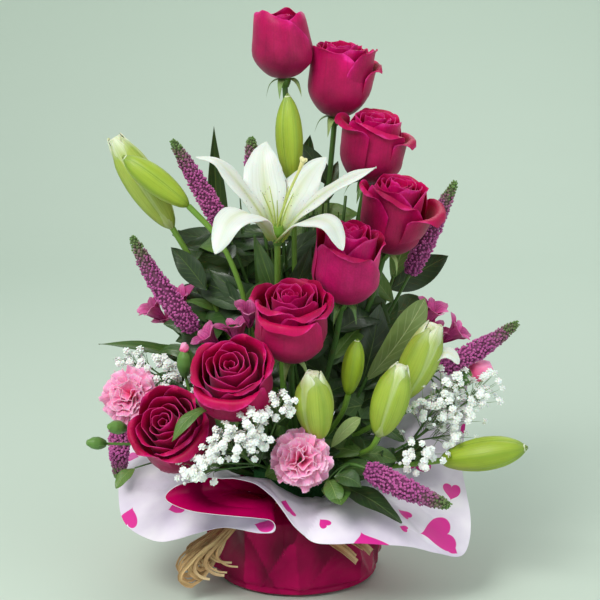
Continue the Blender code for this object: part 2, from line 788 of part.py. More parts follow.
SPRAYS = {
    "gypsophila_1": dict(
        entry=(-36, 15, 92), spine=((-64, 2, 130), (-86, -8, 158), (-98, -12, 176)),
        ends=((-112, -22, 188), (-128, -10, 186), (-84, -34, 172), (-142, -4, 188), (-107, -28, 172)),
        blob=5.0),
    "gypsophila_2": dict(
        entry=(-12, -36, 92), spine=((-24, -84, 118), (-36, -112, 132), (-42, -126, 146)),
        ends=((-66, -120, 134), (-58, -124, 150), (-34, -126, 164), (-29, -122, 148), (-12, -114, 174), (-76, -112, 124)),
        blob=5.5),
    "gypsophila_3": dict(
        entry=(32, -30, 93), spine=((74, -44, 116), (102, -44, 132), (116, -40, 146)),
        ends=((112, -54, 156), (124, -44, 170), (126, -52, 136), (100, -78, 126), (152, -28, 164), (134, -38, 154)),
        blob=5.5),
}
ALSTROEMERIAS = {
    "alstroemeria_1": dict(
        entry=(-22, 17, 98), spine=((-60, 24, 150), (-90, 24, 196), (-104, 22, 216)),
        ends=((-119, 12, 226), (-98, 8, 236)), blob=9),
    "alstroemeria_2": dict(
        entry=(-11, -12, 98), spine=((-24, -22, 140), (-42, -30, 190), (-50, -32, 220)),
        ends=((-38, -46, 236), (-70, -40, 214)), blob=8),
    "alstroemeria_3": dict(
        entry=(26, 11, 98), spine=((64, 18, 140), (102, 24, 184), (118, 22, 206)),
        ends=((134, 15, 206), (115, 10, 224)), blob=9),
}


def leafy(name, entry, spine, leaves, look=None):
    """A stem with flat leaves, each given by its tip, half width and facing side."""
    bm = bmesh.new()
    line = curve_through([mm(*entry)] + [mm(*p) for p in spine], 4)
    lead, depth = lead_in(line[0], line[2])
    points = [line[0] - lead * depth] + line
    radius = 1.5 * MM
    note_hole(points, radius, 5)
    stretches, _, _ = tube(bm, points, [radius] * (len(points) - 1) + [0.7 * radius], 5)
    used = set()
    for share, tip, half, facing in leaves:
        goal = mm(*tip)
        index = 3 + round(share * (len(stretches) - 4))
        usable = [face for face in stretches[index] if face not in used]
        start_guess = usable[0].calc_center_median()
        face = best_face(usable, (goal - start_guess).normalized())
        used.add(face)
        start = face.calc_center_median()
        reach = goal - start
        facing = Vector(facing)
        bow = facing.normalized() * reach.length * 0.08
        line = [start + reach * t + bow * math.sin(math.pi * t) for t in (0.12, 0.35, 0.6, 0.85, 1.0)]
        widths = [w * half * MM for w in (0.22, 0.85, 1.0, 0.6, 0.06)]
        grow(bm, face, line, facing, widths, [0.8 * MM, 0.7 * MM, 0.6 * MM, 0.5 * MM, 0.3 * MM])
    return finish(name, bm, look or leaf_green())


# share of the way up the stem, tip, half width, facing side
FOLIAGE = {
    "foliage_right": dict(
        entry=(27, -5, 98), spine=((44, -14, 140), (60, -22, 178)),
        leaves=(
            (1.0, (108, -24, 247), 14, (0.5, -0.8, 0.2)),
            (0.9, (72, 4, 236), 15, (0.2, -1, 0.3)),
            (0.7, (106, 14, 196), 13, (0.1, -0.6, 0.8)),
            (0.35, (92, -24, 122), 12, (0.2, -0.4, 0.9)),
        ),
    ),
    "foliage_left": dict(
        entry=(-33, 29, 92), spine=((-58, 22, 140), (-78, 6, 184)),
        leaves=(
            (1.0, (-168, -6, 203), 8, (0.0, -0.5, 1)),
            (0.9, (-130, 12, 200), 9, (0.0, -0.6, 0.8)),
            (0.6, (-134, 30, 160), 14, (-0.3, -0.3, 1)),
            (0.4, (-112, 52, 142), 14, (-0.4, 0.3, 1)),
        ),
    ),
    "foliage_back": dict(
        entry=(2, 29, 98), spine=((2, 58, 150), (0, 74, 214), (-6, 76, 268)),
        leaves=(
            (1.0, (12, 78, 372), 15, (0.1, 1, 0.1)),
            (0.85, (34, 84, 290), 15, (0.2, 1, 0.2)),
            (0.7, (-46, 92, 258), 15, (-0.2, 1, 0.2)),
            (0.5, (38, 98, 214), 16, (0.2, 1, 0.3)),
            (0.4, (-42, 104, 196), 16, (-0.2, 1, 0.3)),
            (0.2, (12, 104, 168), 16, (0, 1, 0.5)),
        ),
    ),
    "foliage_back_left": dict(
        entry=(-20, 29, 98), spine=((-40, 52, 150), (-56, 60, 210), (-62, 56, 262)),
        leaves=(
            (1.0, (-70, 36, 384), 9, (-0.3, 0.8, 0.1)),
            (0.85, (-104, 62, 290), 14, (-0.4, 0.9, 0.2)),
            (0.65, (-104, 78, 236), 15, (-0.4, 0.9, 0.3)),
            (0.45, (-82, 92, 186), 15, (-0.2, 1, 0.4)),
            (0.25, (-96, 84, 142), 15, (-0.3, 0.8, 0.6)),
        ),
    ),
    "foliage_back_right": dict(
        entry=(22, 29, 98), spine=((48, 52, 150), (72, 60, 206), (86, 56, 250)),
        leaves=(
            (1.0, (104, 52, 312), 13, (0.3, 0.8, 0.1)),
            (0.85, (134, 56, 268), 14, (0.4, 0.9, 0.2)),
            (0.65, (124, 72, 220), 15, (0.4, 0.9, 0.3)),
            (0.45, (92, 90, 178), 15, (0.2, 1, 0.4)),
            (0.25, (100, 76, 152), 14, (0.3, 0.8, 0.6)),
        ),
    ),
    "foliage_middle": dict(
        entry=(7, 8, 98), spine=((4, 0, 150), (-4, -8, 200), (-14, -10, 236)),
        leaves=(
            (1.0, (-34, -8, 296), 9, (0.0, -1, 0.1)),
            (0.9, (12, -18, 290), 9, (0.1, -1, 0.1)),
            (0.75, (-74, -4, 268), 12, (-0.2, -1, 0.3)),
            (0.6, (34, -10, 214), 12, (0.2, -1, 0.3)),
            (0.5, (-24, 15, 197), 9, (-0.2, -0.8, 0.4)),
        ),
    ),
    "foliage_low": dict(
        entry=(-2, -25, 98), spine=((-4, -52, 128), (-8, -70, 150)),
        leaves=(
            (1.0, (-20, -92, 186), 10, (0.0, -0.9, 0.5)),
            (0.7, (24, -84, 136), 9, (0.2, -0.6, 0.8)),
            (0.5, (-46, -84, 132), 11, (-0.1, -0.4, 1)),
        ),
    ),
    "foliage_front": dict(
        entry=(10, -36, 92), spine=((20, -70, 103), (33, -90, 106)),
        leaves=(
            (1.0, (84, -126, 86), 12, (0.1, -0.3, 1)),
            (0.85, (36, -134, 104), 12, (0.0, -0.4, 1)),
        ),
    ),
}


# --------------------------------------------------------------------------- assembly
def build():
    clear_scene()
    for number, rose in enumerate(ROSES, 1):
        rose_bloom(number, rose)
        rose_stem(number, rose)
    lily_flower()
    lily_pistil()
    lily_stem()
    for number, bud in enumerate(LILY_BUDS, 1):
        lily_bud(number, bud)
    for number, spike in enumerate(VERONICAS, 1):
        veronica(number, spike)
    for number, flower in enumerate(CARNATIONS, 1):
        carnation_bloom(number, flower)
        carnation_stem(number, flower)
    for number, bud in enumerate(CARNATION_BUDS, 1):
        carnation_bud(number, bud)
    for name, facts in SPRAYS.items():
        spray(name, facts["entry"], facts["spine"], facts["ends"], facts["blob"], 0.5,
              material("gypsophila", (0.82, 0.82, 0.78), 0.8))
    for name, facts in ALSTROEMERIAS.items():
        spray(name, facts["entry"], facts["spine"], facts["ends"], facts["blob"], 0.9,
              material("alstroemeria", (0.55, 0.03, 0.26), 0.5))
    for name, facts in FOLIAGE.items():
        leafy(name, facts["entry"], facts["spine"], facts["leaves"])
    bowl()
    foam()
    wrap()
    raffia_tie()
    raffia_loops()
    raffia_ends()


build()
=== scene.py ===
# A florist's rose arrangement, dressed round its CAD frame: metres, +Z up, -Y the front.
import math
import random

import bpy
import numpy as np
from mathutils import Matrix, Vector


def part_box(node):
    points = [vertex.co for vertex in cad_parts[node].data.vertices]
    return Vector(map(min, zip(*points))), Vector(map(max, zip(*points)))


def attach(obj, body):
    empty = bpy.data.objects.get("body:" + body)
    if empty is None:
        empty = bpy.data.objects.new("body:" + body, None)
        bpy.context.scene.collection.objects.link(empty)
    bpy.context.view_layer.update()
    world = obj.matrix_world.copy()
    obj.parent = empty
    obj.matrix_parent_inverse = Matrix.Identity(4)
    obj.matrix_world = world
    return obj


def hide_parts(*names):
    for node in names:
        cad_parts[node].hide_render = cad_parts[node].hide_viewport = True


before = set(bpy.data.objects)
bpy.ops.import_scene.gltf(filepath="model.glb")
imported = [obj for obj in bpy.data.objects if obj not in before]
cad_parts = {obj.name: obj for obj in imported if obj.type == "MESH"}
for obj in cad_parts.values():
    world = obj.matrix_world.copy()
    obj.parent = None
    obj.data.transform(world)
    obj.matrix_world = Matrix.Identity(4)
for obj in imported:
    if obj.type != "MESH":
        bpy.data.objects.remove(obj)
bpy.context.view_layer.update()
bpy.ops.object.select_all(action="DESELECT")
tau = math.tau
golden = math.radians(137.508)
chance = random.Random(11)
print("frame loaded")


# lines and rows of points
def unit(rows):
    rows = np.asarray(rows, float)
    return rows / np.maximum(np.linalg.norm(rows, axis=-1, keepdims=True), 1e-9)


def refined(rows, steps, closed=False):
    # rows of a smooth line or sheet through the given ones, with steps in each stretch
    p = np.asarray(rows, float)
    p = np.concatenate([p[-1:], p, p[:2]] if closed else [2 * p[:1] - p[1:2], p, 2 * p[-1:] - p[-2:-1]])
    t = (np.arange(steps) / steps).reshape(-1, *[1] * (p.ndim - 1))
    fine = [0.5 * (2 * b + (c - a) * t + (2 * a - 5 * b + 4 * c - d) * t**2 + (3 * b - a - 3 * c + d) * t**3)
            for a, b, c, d in zip(p, p[1:], p[2:], p[3:])]
    return np.concatenate(fine + [p[1:2] if closed else p[-2:-1]])


def runOf(line):
    # how far along a line each of its points lies
    return np.r_[0, np.cumsum(np.linalg.norm(np.diff(line, axis=0), axis=1))]


def readAt(share, run, rows):
    # rows that belong to the points of a line, read at shares of its length
    return np.column_stack([np.interp(share, run / run[-1], column) for column in np.transpose(rows)])


def curveAt(points, share):
    fine = refined(points, 16)
    return readAt(share, runOf(fine), fine)


def turnAlong(line, facing):
    # direction, facing side and sideways of a line; facing is one vector or one a point
    along = unit(np.gradient(line, axis=0))
    facing = np.asarray(facing, float)
    up = np.zeros_like(line)
    last = facing if facing.ndim == 1 else facing[0]
    for k, direction in enumerate(along):
        last = last if facing.ndim == 1 else facing[k]
        last = unit(last - direction * np.dot(last, direction))
        up[k] = last
    return along, up, np.cross(along, up)


def sideOf(direction):
    base = np.array((0, 1, 0)) if abs(direction[1]) < 0.9 else np.array((1, 0, 0))
    return unit(base - direction * np.dot(base, direction))


def standing(axis, toward=(0, -1, 0), turn=0.0):
    # columns are x, y and z of a frame on the axis, with -y turned to face the way toward
    z = unit(axis)
    toward = np.asarray(toward, float)
    y = -unit(toward - z * np.dot(toward, z)) if abs(np.dot(unit(toward), z)) < 0.99 else sideOf(z)
    x = np.cross(y, z)
    c, s = math.cos(turn), math.sin(turn)
    return np.column_stack([x * c + y * s, y * c - x * s, z])


def around(turned, angle):
    # the way out from a standing frame's axis at an angle
    return turned @ np.array((math.cos(angle), math.sin(angle), 0))


# the frame's solids, read as stems and branches
def cornersOf(node):
    # a solid's corners, merged, and which of them an edge joins
    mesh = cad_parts[node].data
    number, places, own = {}, [], []
    for vert in mesh.vertices:
        key = tuple(round(c * 1e5) for c in vert.co)
        if key not in number:
            number[key] = len(places)
            places.append(np.array(vert.co, float))
        own.append(number[key])
    links = [set() for _ in places]
    across = {}
    for face in mesh.polygons:
        a, b, c = (own[v] for v in face.vertices)
        for p, q, other in ((a, b, c), (b, c, a), (c, a, b)):
            links[p].add(q)
            links[q].add(p)
            across.setdefault((min(p, q), max(p, q)), set()).add(other)
    return np.array(places), links, across


def nextRing(ring, links, seen):
    return set().union(*(links[v] for v in ring)) - seen


def readSolid(node, sides=5, near=(0, 0, 0.058)):
    # the middle line and radii of a stem from its foot, and of each four-sided branch
    places, links, across = cornersOf(node)
    chains = []
    for edge, others in across.items():
        ring = set(edge) | others
        if sides == 4 or len(ring) != 4:
            continue
        rings, seen = [ring], set(ring)
        while len(rings) < 12:
            ring = nextRing(ring, links, seen)
            if len(ring) != 4:
                break
            rings.append(ring)
            seen |= ring
        if len(rings) > 3:
            chains.append(rings)
    branches, taken = [], set()
    for rings in sorted(chains, key=len, reverse=True):
        if set().union(*rings[:-1]) & taken:
            continue
        for ring in rings[:-1]:
            taken |= ring
        branch = dict(line=[], half=[], facing=[])
        for ring in reversed(rings):
            spots = places[sorted(ring)]
            middle = spots.mean(0)
            order = np.argsort(-np.linalg.norm(spots - middle, axis=1))
            branch["line"].append(middle)
            branch["half"].append(np.linalg.norm(spots[order[0]] - spots[order[1]]) / 2)
            branch["facing"].append(unit(spots[order[2]] - spots[order[3]]))
        branches.append({key: np.array(value) for key, value in branch.items()})
    ring = set(np.argsort(np.linalg.norm(places - np.array(near), axis=1))[:sides].tolist())
    seen, line, radii = set(taken), [], []
    while len(ring) == sides:
        spots = places[sorted(ring)]
        line.append(spots.mean(0))
        radii.append(np.linalg.norm(spots - line[-1], axis=1).mean())
        seen |= ring
        ring = nextRing(ring, links, seen)
    return dict(line=np.array(line), radii=np.array(radii), branches=branches)


def shapeOf(node):
    return cornersOf(node)[0]


# new pieces
def pick(*pieces):
    bpy.ops.object.select_all(action="DESELECT")
    for piece in pieces:
        piece.select_set(True)
    bpy.context.view_layer.objects.active = pieces[0]


def mark(mesh, name, values):
    # a number at each point, for a material to read
    if name not in mesh.attributes:
        mesh.attributes.new(name, "FLOAT", "POINT")
    mesh.attributes[name].data.foreach_set("value", np.asarray(values, np.float32))


def spotsOf(mesh):
    flat = np.zeros(len(mesh.vertices) * 3)
    mesh.vertices.foreach_get("co", flat)
    return flat.reshape(-1, 3)


def gridSheet(name, columns, rows, place, finishes, tint=0.0):
    # a grid whose points are placed by their share across and along
    bpy.ops.mesh.primitive_grid_add(x_subdivisions=columns, y_subdivisions=rows, size=1)
    made = bpy.context.object
    made.name = name
    u, v = spotsOf(made.data)[:, 0] + 0.5, spotsOf(made.data)[:, 1] + 0.5
    made.data.vertices.foreach_set("co", np.ascontiguousarray(place(u, v), float).ravel())
    mark(made.data, "tint", np.full(len(u), tint))
    for finish in finishes:
        made.data.materials.append(looks[finish])
    made.data.update()
    return made


def tubeSheet(name, line, radii, finish, sides=8, rows=None, tint=0.0, ribs=None):
    # a closed tube whose ends taper to a point; ribs(angle, share) scales its section
    rows = rows or 2 * len(line)
    share, run = np.linspace(0, 1, rows + 1), runOf(line)
    middle, width = curveAt(line, share), np.interp(share, run / run[-1], radii)
    width[0] = width[-1] = 0
    middle[1] = middle[0] * 0.97 + middle[1] * 0.03
    middle[-2] = middle[-1] * 0.97 + middle[-2] * 0.03
    _, up, side = turnAlong(middle, sideOf(unit(line[1] - line[0])))

    def place(u, v):
        k, angle = np.rint(v * rows).astype(int), tau * u
        wide = width[k] * (1 if ribs is None else ribs(angle, v))
        return middle[k] + side[k] * (wide * np.cos(angle))[:, None] + up[k] * (wide * np.sin(angle))[:, None]

    made = gridSheet(name, sides, rows, place, [finish], tint)
    mergeClose(made)
    return made


def mergeClose(piece, gap=2e-6):
    pick(piece)
    bpy.ops.object.mode_set(mode="EDIT")
    bpy.ops.mesh.select_all(action="SELECT")
    bpy.ops.mesh.remove_doubles(threshold=gap)
    bpy.ops.mesh.normals_make_consistent(inside=False)
    bpy.ops.object.mode_set(mode="OBJECT")


def joined(name, parts):
    pick(*parts)
    if len(parts) > 1:
        bpy.ops.object.join()
    whole = bpy.context.object
    whole.name = whole.data.name = name
    return whole


def thicken(piece, thickness, backLook=0, rimLook=0):
    wall = piece.modifiers.new("wall", "SOLIDIFY")
    wall.thickness, wall.offset, wall.use_even_offset = thickness, -1, False
    wall.material_offset, wall.material_offset_rim = backLook, rimLook
    pick(piece)
    bpy.ops.object.modifier_apply(modifier="wall")


def smooth(piece, angle=60):
    pick(piece)
    bpy.ops.object.shade_smooth_by_angle(angle=math.radians(angle))


def dress(piece, node, angle=60):
    smooth(piece, angle)
    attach(piece, "root")
    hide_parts(node)


def copiesOf(name, pattern, places):
    # one mesh of many copies; each place is a spot, a 3x3 frame with its size, and a tint
    mesh, spots, count = pattern.data, spotsOf(pattern.data), len(places)
    share = np.zeros(len(spots), np.float32)
    mesh.attributes["share"].data.foreach_get("value", share)
    faces = [tuple(face.vertices) for face in mesh.polygons]
    points = np.concatenate([spots @ turned.T + spot for spot, turned, _ in places])
    rows = [tuple(v + k * len(spots) for v in face) for k in range(count) for face in faces]
    made = bpy.data.meshes.new(name)
    made.from_pydata(points.tolist(), [], rows)
    made.polygons.foreach_set("material_index", [face.material_index for face in mesh.polygons] * count)
    mark(made, "tint", np.repeat([tint for *_, tint in places], len(spots)))
    mark(made, "share", np.tile(share, count))
    for finish in mesh.materials:
        made.materials.append(finish)
    made.update()
    piece = bpy.data.objects.new(name, made)
    bpy.context.scene.collection.objects.link(piece)
    bpy.data.objects.remove(pattern)
    return piece


def bladeSheet(name, line, facing, half, finishes, shape, columns=6, rows=14, fold=0.15, wave=0.0, waves=3,
               curl=0.0, tint=0.0, phase=0.0):
    # a leaf, petal or strand that lies along a line; shape(v) is its outline from 0 to 1
    share = np.linspace(0, 1, rows + 1)
    middle = curveAt(line, share)
    _, up, side = turnAlong(middle, readAt(share, runOf(line), facing) if np.ndim(facing) == 2 else facing)

    def place(u, v):
        k, s = np.rint(v * rows).astype(int), 2 * u - 1
        wide = half * shape(v)
        lift = fold * wide * np.abs(s) ** 1.3 - curl * wide * s**4
        lift = lift + wave * half * np.abs(s) ** 2 * np.sin(waves * tau * v + phase + 1.4 * np.sign(s))
        return middle[k] + side[k] * (wide * s * (1 - 0.1 * abs(fold)))[:, None] + up[k] * lift[:, None]

    return gridSheet(name, columns, rows, place, finishes, tint)


def outline(shares, widths):
    # the half width along a leaf or petal, from its foot at 0 to its tip at 1
    return lambda v: np.interp(v, shares, widths)


def leafOutline(v, widest=0.42, sharp=1.0):
    # the half width of a leaf along its length, 0 at both ends
    rise = np.clip(v / widest, 0, 1)
    fall = np.clip((1 - v) / (1 - widest), 0, 1)
    return np.where(v < widest, np.sin(rise * math.pi / 2) ** 0.8, np.sin(fall * math.pi / 2) ** sharp)


# finishes
looks = {}


def rgb(text):
    # a colour written as its six hex digits, in linear values
    parts = [int(text[k:k + 2], 16) / 255 for k in (0, 2, 4)]
    return tuple(p / 12.92 if p <= 0.04045 else ((p + 0.055) / 1.055) ** 2.4 for p in parts)


def feed(tree, socket, value):
    # another node's output, a number, a row of numbers or a colour as hex digits, into an input
    if hasattr(value, "links"):
        tree.links.new(value, socket)
    else:
        socket.default_value = (*rgb(value), 1) if isinstance(value, str) else value


def nodeIn(tree, kind, *links, **settings):
    # a node with its settings, and what goes into its inputs as (value, input)
    made = tree.nodes.new(kind)
    for key, value in settings.items():
        setattr(made, key, value)
    for value, target in links:
        feed(tree, made.inputs[target], value)
    return made


def mathIn(tree, operation, *values, clamp=False):
    pairs = [(value, k) for k, value in enumerate(values)]
    return nodeIn(tree, "ShaderNodeMath", *pairs, operation=operation, use_clamp=clamp).outputs[0]


def timesIn(tree, a, b, clamp=False):
    return mathIn(tree, "MULTIPLY", a, b, clamp=clamp)


def plusIn(tree, a, b, clamp=False):
    return mathIn(tree, "ADD", a, b, clamp=clamp)


def minusIn(tree, a, b, clamp=False):
    return mathIn(tree, "SUBTRACT", a, b, clamp=clamp)


def swingIn(tree, value, gain, base):
    # a value that varies about 0.5, made to vary about the base
    return mathIn(tree, "MULTIPLY_ADD", minusIn(tree, value, 0.5), gain, base)


def mixIn(tree, share, a, b):
    return nodeIn(tree, "ShaderNodeMix", (share, 0), (a, 6), (b, 7), data_type="RGBA").outputs[2]


def rampIn(tree, value, stops):
    # stops as text, each a place and a colour or a grey
    ramp = tree.nodes.new("ShaderNodeValToRGB")
    tree.links.new(value, ramp.inputs[0])
    bars = ramp.color_ramp.elements
    bars.remove(bars[0])
    for k, (place, colour) in enumerate(stop.split() for stop in stops.split(",")):
        bar = bars[0] if k == 0 else bars.new(float(place))
        bar.position = float(place)
        bar.color = (*(rgb(colour) if len(colour) == 6 else [float(colour)] * 3), 1)
    return ramp.outputs[0]


def newGroup(name, inputs, outputs):
    # a shader group; an input with a value is a number and one with none a vector
    group = bpy.data.node_groups.new(name, "ShaderNodeTree")
    for label, *value in (item.split() for item in inputs.split(",")):
        kind = "NodeSocketFloat" if value else "NodeSocketVector"
        socket = group.interface.new_socket(name=label, in_out="INPUT", socket_type=kind)
        if value:
            socket.default_value = float(value[0])
    for label in outputs.split():
        group.interface.new_socket(name=label, in_out="OUTPUT", socket_type="NodeSocketFloat")
    return group, group.nodes.new("NodeGroupInput").outputs


def putOut(group, **values):
    out = group.nodes.new("NodeGroupOutput").inputs
    for label, value in values.items():
        group.links.new(value, out[label])


def groupIn(tree, name, **values):
    made = tree.nodes.new("ShaderNodeGroup")
    made.node_tree = bpy.data.node_groups[name]
    for key, value in values.items():
        feed(tree, made.inputs[key], value)
    return made.outputs


def splitUv(tree):
    # the UV map's two parts, and how far a point lies from the middle line
    uv = nodeIn(tree, "ShaderNodeUVMap", uv_map="UVMap")
    parts = nodeIn(tree, "ShaderNodeSeparateXYZ", (uv.outputs[0], 0)).outputs
    return parts[0], parts[1], mathIn(tree, "ABSOLUTE", mathIn(tree, "MULTIPLY_ADD", parts[0], 2.0, -1.0))


def makeMottle():
    # soft blotches and a finer grain, both about 0.5, on the object's own coordinates
    group, given = newGroup("softMottle", "Vector, Scale 60", "Blotch Grain")
    fine = timesIn(group, given["Scale"], 9.0)
    blotch, grain = (nodeIn(group, "ShaderNodeTexNoise", (given["Vector"], "Vector"), (scale, "Scale"),
                            (detail, "Detail")).outputs[0] for scale, detail in ((given["Scale"], 3.0),
                                                                                 (fine, 2.0)))
    putOut(group, Blotch=blotch, Grain=grain)


def makeStreaks():
    # fine lines that run along a petal, strand or stem from its base, on its UV map
    group, given = newGroup("longStreaks", "Across 40, Along 2, Shift 0", "Streak Along Side")
    across, along, side = splitUv(group)
    place = nodeIn(group, "ShaderNodeCombineXYZ", (timesIn(group, across, given["Across"]), 0),
                   (timesIn(group, along, given["Along"]), 1), (timesIn(group, given["Shift"], 37.0), 2))
    noise = nodeIn(group, "ShaderNodeTexNoise", (place.outputs[0], "Vector"), (1.0, "Scale"), (3.0, "Detail"))
    putOut(group, Streak=noise.outputs[0], Along=along, Side=side)


def makeVeins():
    # a leaf's midrib and slanting side veins, 1 on a vein
    group, given = newGroup("leafVeins", "Pairs 9, Slant 2, Rib 0.05", "Rib Vein Side Along")
    _, along, side = splitUv(group)
    rib = minusIn(group, 1.0, mathIn(group, "DIVIDE", side, given["Rib"]), clamp=True)
    bend = timesIn(group, mathIn(group, "POWER", side, 0.8), given["Slant"])
    saw = mathIn(group, "PINGPONG", minusIn(group, timesIn(group, along, given["Pairs"]), bend), 0.5)
    vein = minusIn(group, 1.0, timesIn(group, saw, 9.0), clamp=True)
    vein = timesIn(group, vein, minusIn(group, 1.0, mathIn(group, "POWER", side, 3.0), clamp=True))
    putOut(group, Rib=rib, Vein=vein, Side=side, Along=along)


def makeHeart():
    # one heart standing on its tip, half as wide as Size says
    group, given = newGroup("heartShape", "Vector, Size 0.3", "Mask")
    parts = nodeIn(group, "ShaderNodeSeparateXYZ", (given["Vector"], 0)).outputs
    x, y = (mathIn(group, "DIVIDE", part, given["Size"]) for part in (parts[0], parts[1]))
    rise = timesIn(group, mathIn(group, "SQRT", mathIn(group, "ABSOLUTE", x)), 0.8)
    high = minusIn(group, timesIn(group, y, 1.15), rise)
    far = plusIn(group, timesIn(group, x, x), timesIn(group, high, high))
    putOut(group, Mask=timesIn(group, minusIn(group, 1.0, far), 14.0, clamp=True))


def vectorIn(tree, operation, a, b=None, scale=None):
    pairs = [(value, key) for value, key in ((a, 0), (b, 1), (scale, "Scale")) if value is not None]
    return nodeIn(tree, "ShaderNodeVectorMath", *pairs, operation=operation).outputs[0]


def turnIn(tree, vector, angle):
    return nodeIn(tree, "ShaderNodeVectorRotate", (vector, "Vector"), (angle, "Angle"),
                  rotation_type="Z_AXIS").outputs[0]


def makeHearts():
    # hearts of one size, one in some of the cells of a square lattice, turned every way
    group, given = newGroup("heartPrint", "Vector, Cell 0.05, Size 0.3, Share 0.6, Seed 0", "Mask")
    scaled = vectorIn(group, "SCALE", given["Vector"], scale=mathIn(group, "DIVIDE", 1.0, given["Cell"]))
    shift = nodeIn(group, "ShaderNodeCombineXYZ", (given["Seed"], 0), (given["Seed"], 2)).outputs[0]
    seeded = vectorIn(group, "ADD", vectorIn(group, "FLOOR", scaled), shift)
    dice = nodeIn(group, "ShaderNodeTexWhiteNoise", (seeded, "Vector"), noise_dimensions="3D")
    lot = nodeIn(group, "ShaderNodeSeparateColor", (dice.outputs["Color"], 0)).outputs
    x, y = (mathIn(group, "MULTIPLY_ADD", lot[k], -0.36, -0.32) for k in (0, 1))
    off = nodeIn(group, "ShaderNodeCombineXYZ", (x, 0), (y, 1)).outputs[0]
    moved = vectorIn(group, "ADD", vectorIn(group, "FRACTION", scaled), off)
    mask = groupIn(group, "heartShape", Vector=turnIn(group, moved, timesIn(group, lot[2], tau)),
                   Size=given["Size"])
    kept = mathIn(group, "LESS_THAN", dice.outputs["Value"], given["Share"])
    putOut(group, Mask=timesIn(group, mask["Mask"], kept))


for makeGroup in (makeMottle, makeStreaks, makeVeins, makeHeart, makeHearts):
    makeGroup()


def newLook(name, roughness=0.5, **values):
    looks[name] = look = bpy.data.materials.new(name)
    look.use_nodes = True
    shader = look.node_tree.nodes["Principled BSDF"]
    for key, value in dict(values, Roughness=roughness).items():
        shader.inputs[key.replace("_", " ")].default_value = value
    return look.node_tree, shader


def objectPoint(tree):
    return tree.nodes.new("ShaderNodeTexCoord").outputs["Object"]


def mottleIn(tree, scale):
    return groupIn(tree, "softMottle", Vector=objectPoint(tree), Scale=scale)


def attributeIn(tree, name):
    return nodeIn(tree, "ShaderNodeAttribute", attribute_name=name).outputs["Fac"]


def bumpIn(tree, shader, height, strength, distance=0.0004):
    bump = nodeIn(tree, "ShaderNodeBump", (strength, "Strength"), (distance, "Distance"), (height, "Height"))
    tree.links.new(bump.outputs[0], shader.inputs["Normal"])


def paint(tree, shader, colour, swing=None):
    # the base colour, made lighter and darker by the swing
    colour = colour if swing is None else vectorIn(tree, "SCALE", colour, scale=swing)
    tree.links.new(colour, shader.inputs["Base Color"])


def petalLook(name, stops, streakColour, streak=0.35, across=46, roughness=0.55, spread=0.25, soft=0.12,
              sheen=0.25, bump=0.35):
    # a petal whose colour runs from base to rim, with fine veins and a soft sheen
    tree, shader = newLook(name, roughness, Subsurface_Weight=soft, Subsurface_Scale=0.004,
                           Sheen_Weight=sheen, Sheen_Roughness=0.4, Specular_IOR_Level=0.22,
                           Sheen_Tint=(1.0, 0.45, 0.75, 1))
    tint = attributeIn(tree, "tint")
    lines = groupIn(tree, "longStreaks", Across=across, Along=2.2, Shift=tint)
    mottle = mottleIn(tree, 70.0)
    body = rampIn(tree, swingIn(tree, mottle["Blotch"], 0.16, lines["Along"]), stops)
    veined = timesIn(tree, minusIn(tree, lines["Streak"], 0.46, clamp=True), streak * 5)
    swing = swingIn(tree, mottle["Blotch"], spread * 2, 1.0)
    swing = plusIn(tree, swing, timesIn(tree, minusIn(tree, tint, 0.5), spread))
    swing = swingIn(tree, mottle["Grain"], spread * 0.9, swing)
    paint(tree, shader, mixIn(tree, veined, body, streakColour), swing)
    bumpIn(tree, shader, plusIn(tree, lines["Streak"], timesIn(tree, mottle["Grain"], 0.5)), bump)


def leafLook(name, dark, light, vein, roughness=0.38, pairs=9.0, back=False):
    # a leaf with a midrib and side veins, sunk on its face and raised on its back
    tree, shader = newLook(name, roughness, Subsurface_Weight=0.05, Subsurface_Scale=0.002,
                           Coat_Weight=0.0 if back else 0.12, Coat_Roughness=0.35)
    veins, mottle = groupIn(tree, "leafVeins", Pairs=pairs), mottleIn(tree, 90.0)
    tinted = mathIn(tree, "MULTIPLY_ADD", attributeIn(tree, "tint"), 0.9, -0.35)
    share = plusIn(tree, timesIn(tree, mottle["Blotch"], 0.7), tinted, clamp=True)
    lines = mathIn(tree, "MAXIMUM", veins["Rib"], timesIn(tree, veins["Vein"], 0.34))
    paint(tree, shader, mixIn(tree, timesIn(tree, lines, 0.75), mixIn(tree, share, dark, light), vein))
    rough = mathIn(tree, "MULTIPLY_ADD", mottle["Grain"], 0.25, roughness - 0.1)
    tree.links.new(rough, shader.inputs["Roughness"])
    height = plusIn(tree, timesIn(tree, lines, 1.0 if back else -1.0), timesIn(tree, mottle["Grain"], 0.4))
    bumpIn(tree, shader, height, 0.5, 0.0005)


def stemLook(name, low, high, spot, roughness=0.42):
    # a stem that turns from low to high, with faint spots
    tree, shader = newLook(name, roughness, Specular_IOR_Level=0.4)
    lines, mottle = groupIn(tree, "longStreaks", Across=14.0, Along=3.0), mottleIn(tree, 120.0)
    share = mathIn(tree, "MULTIPLY_ADD", lines["Along"], 0.7, timesIn(tree, lines["Streak"], 0.3))
    spots = timesIn(tree, minusIn(tree, mottle["Blotch"], 0.55, clamp=True), 4.0, clamp=True)
    paint(tree, shader, mixIn(tree, timesIn(tree, spots, 0.5), mixIn(tree, share, low, high), spot))
    bumpIn(tree, shader, lines["Streak"], 0.4)


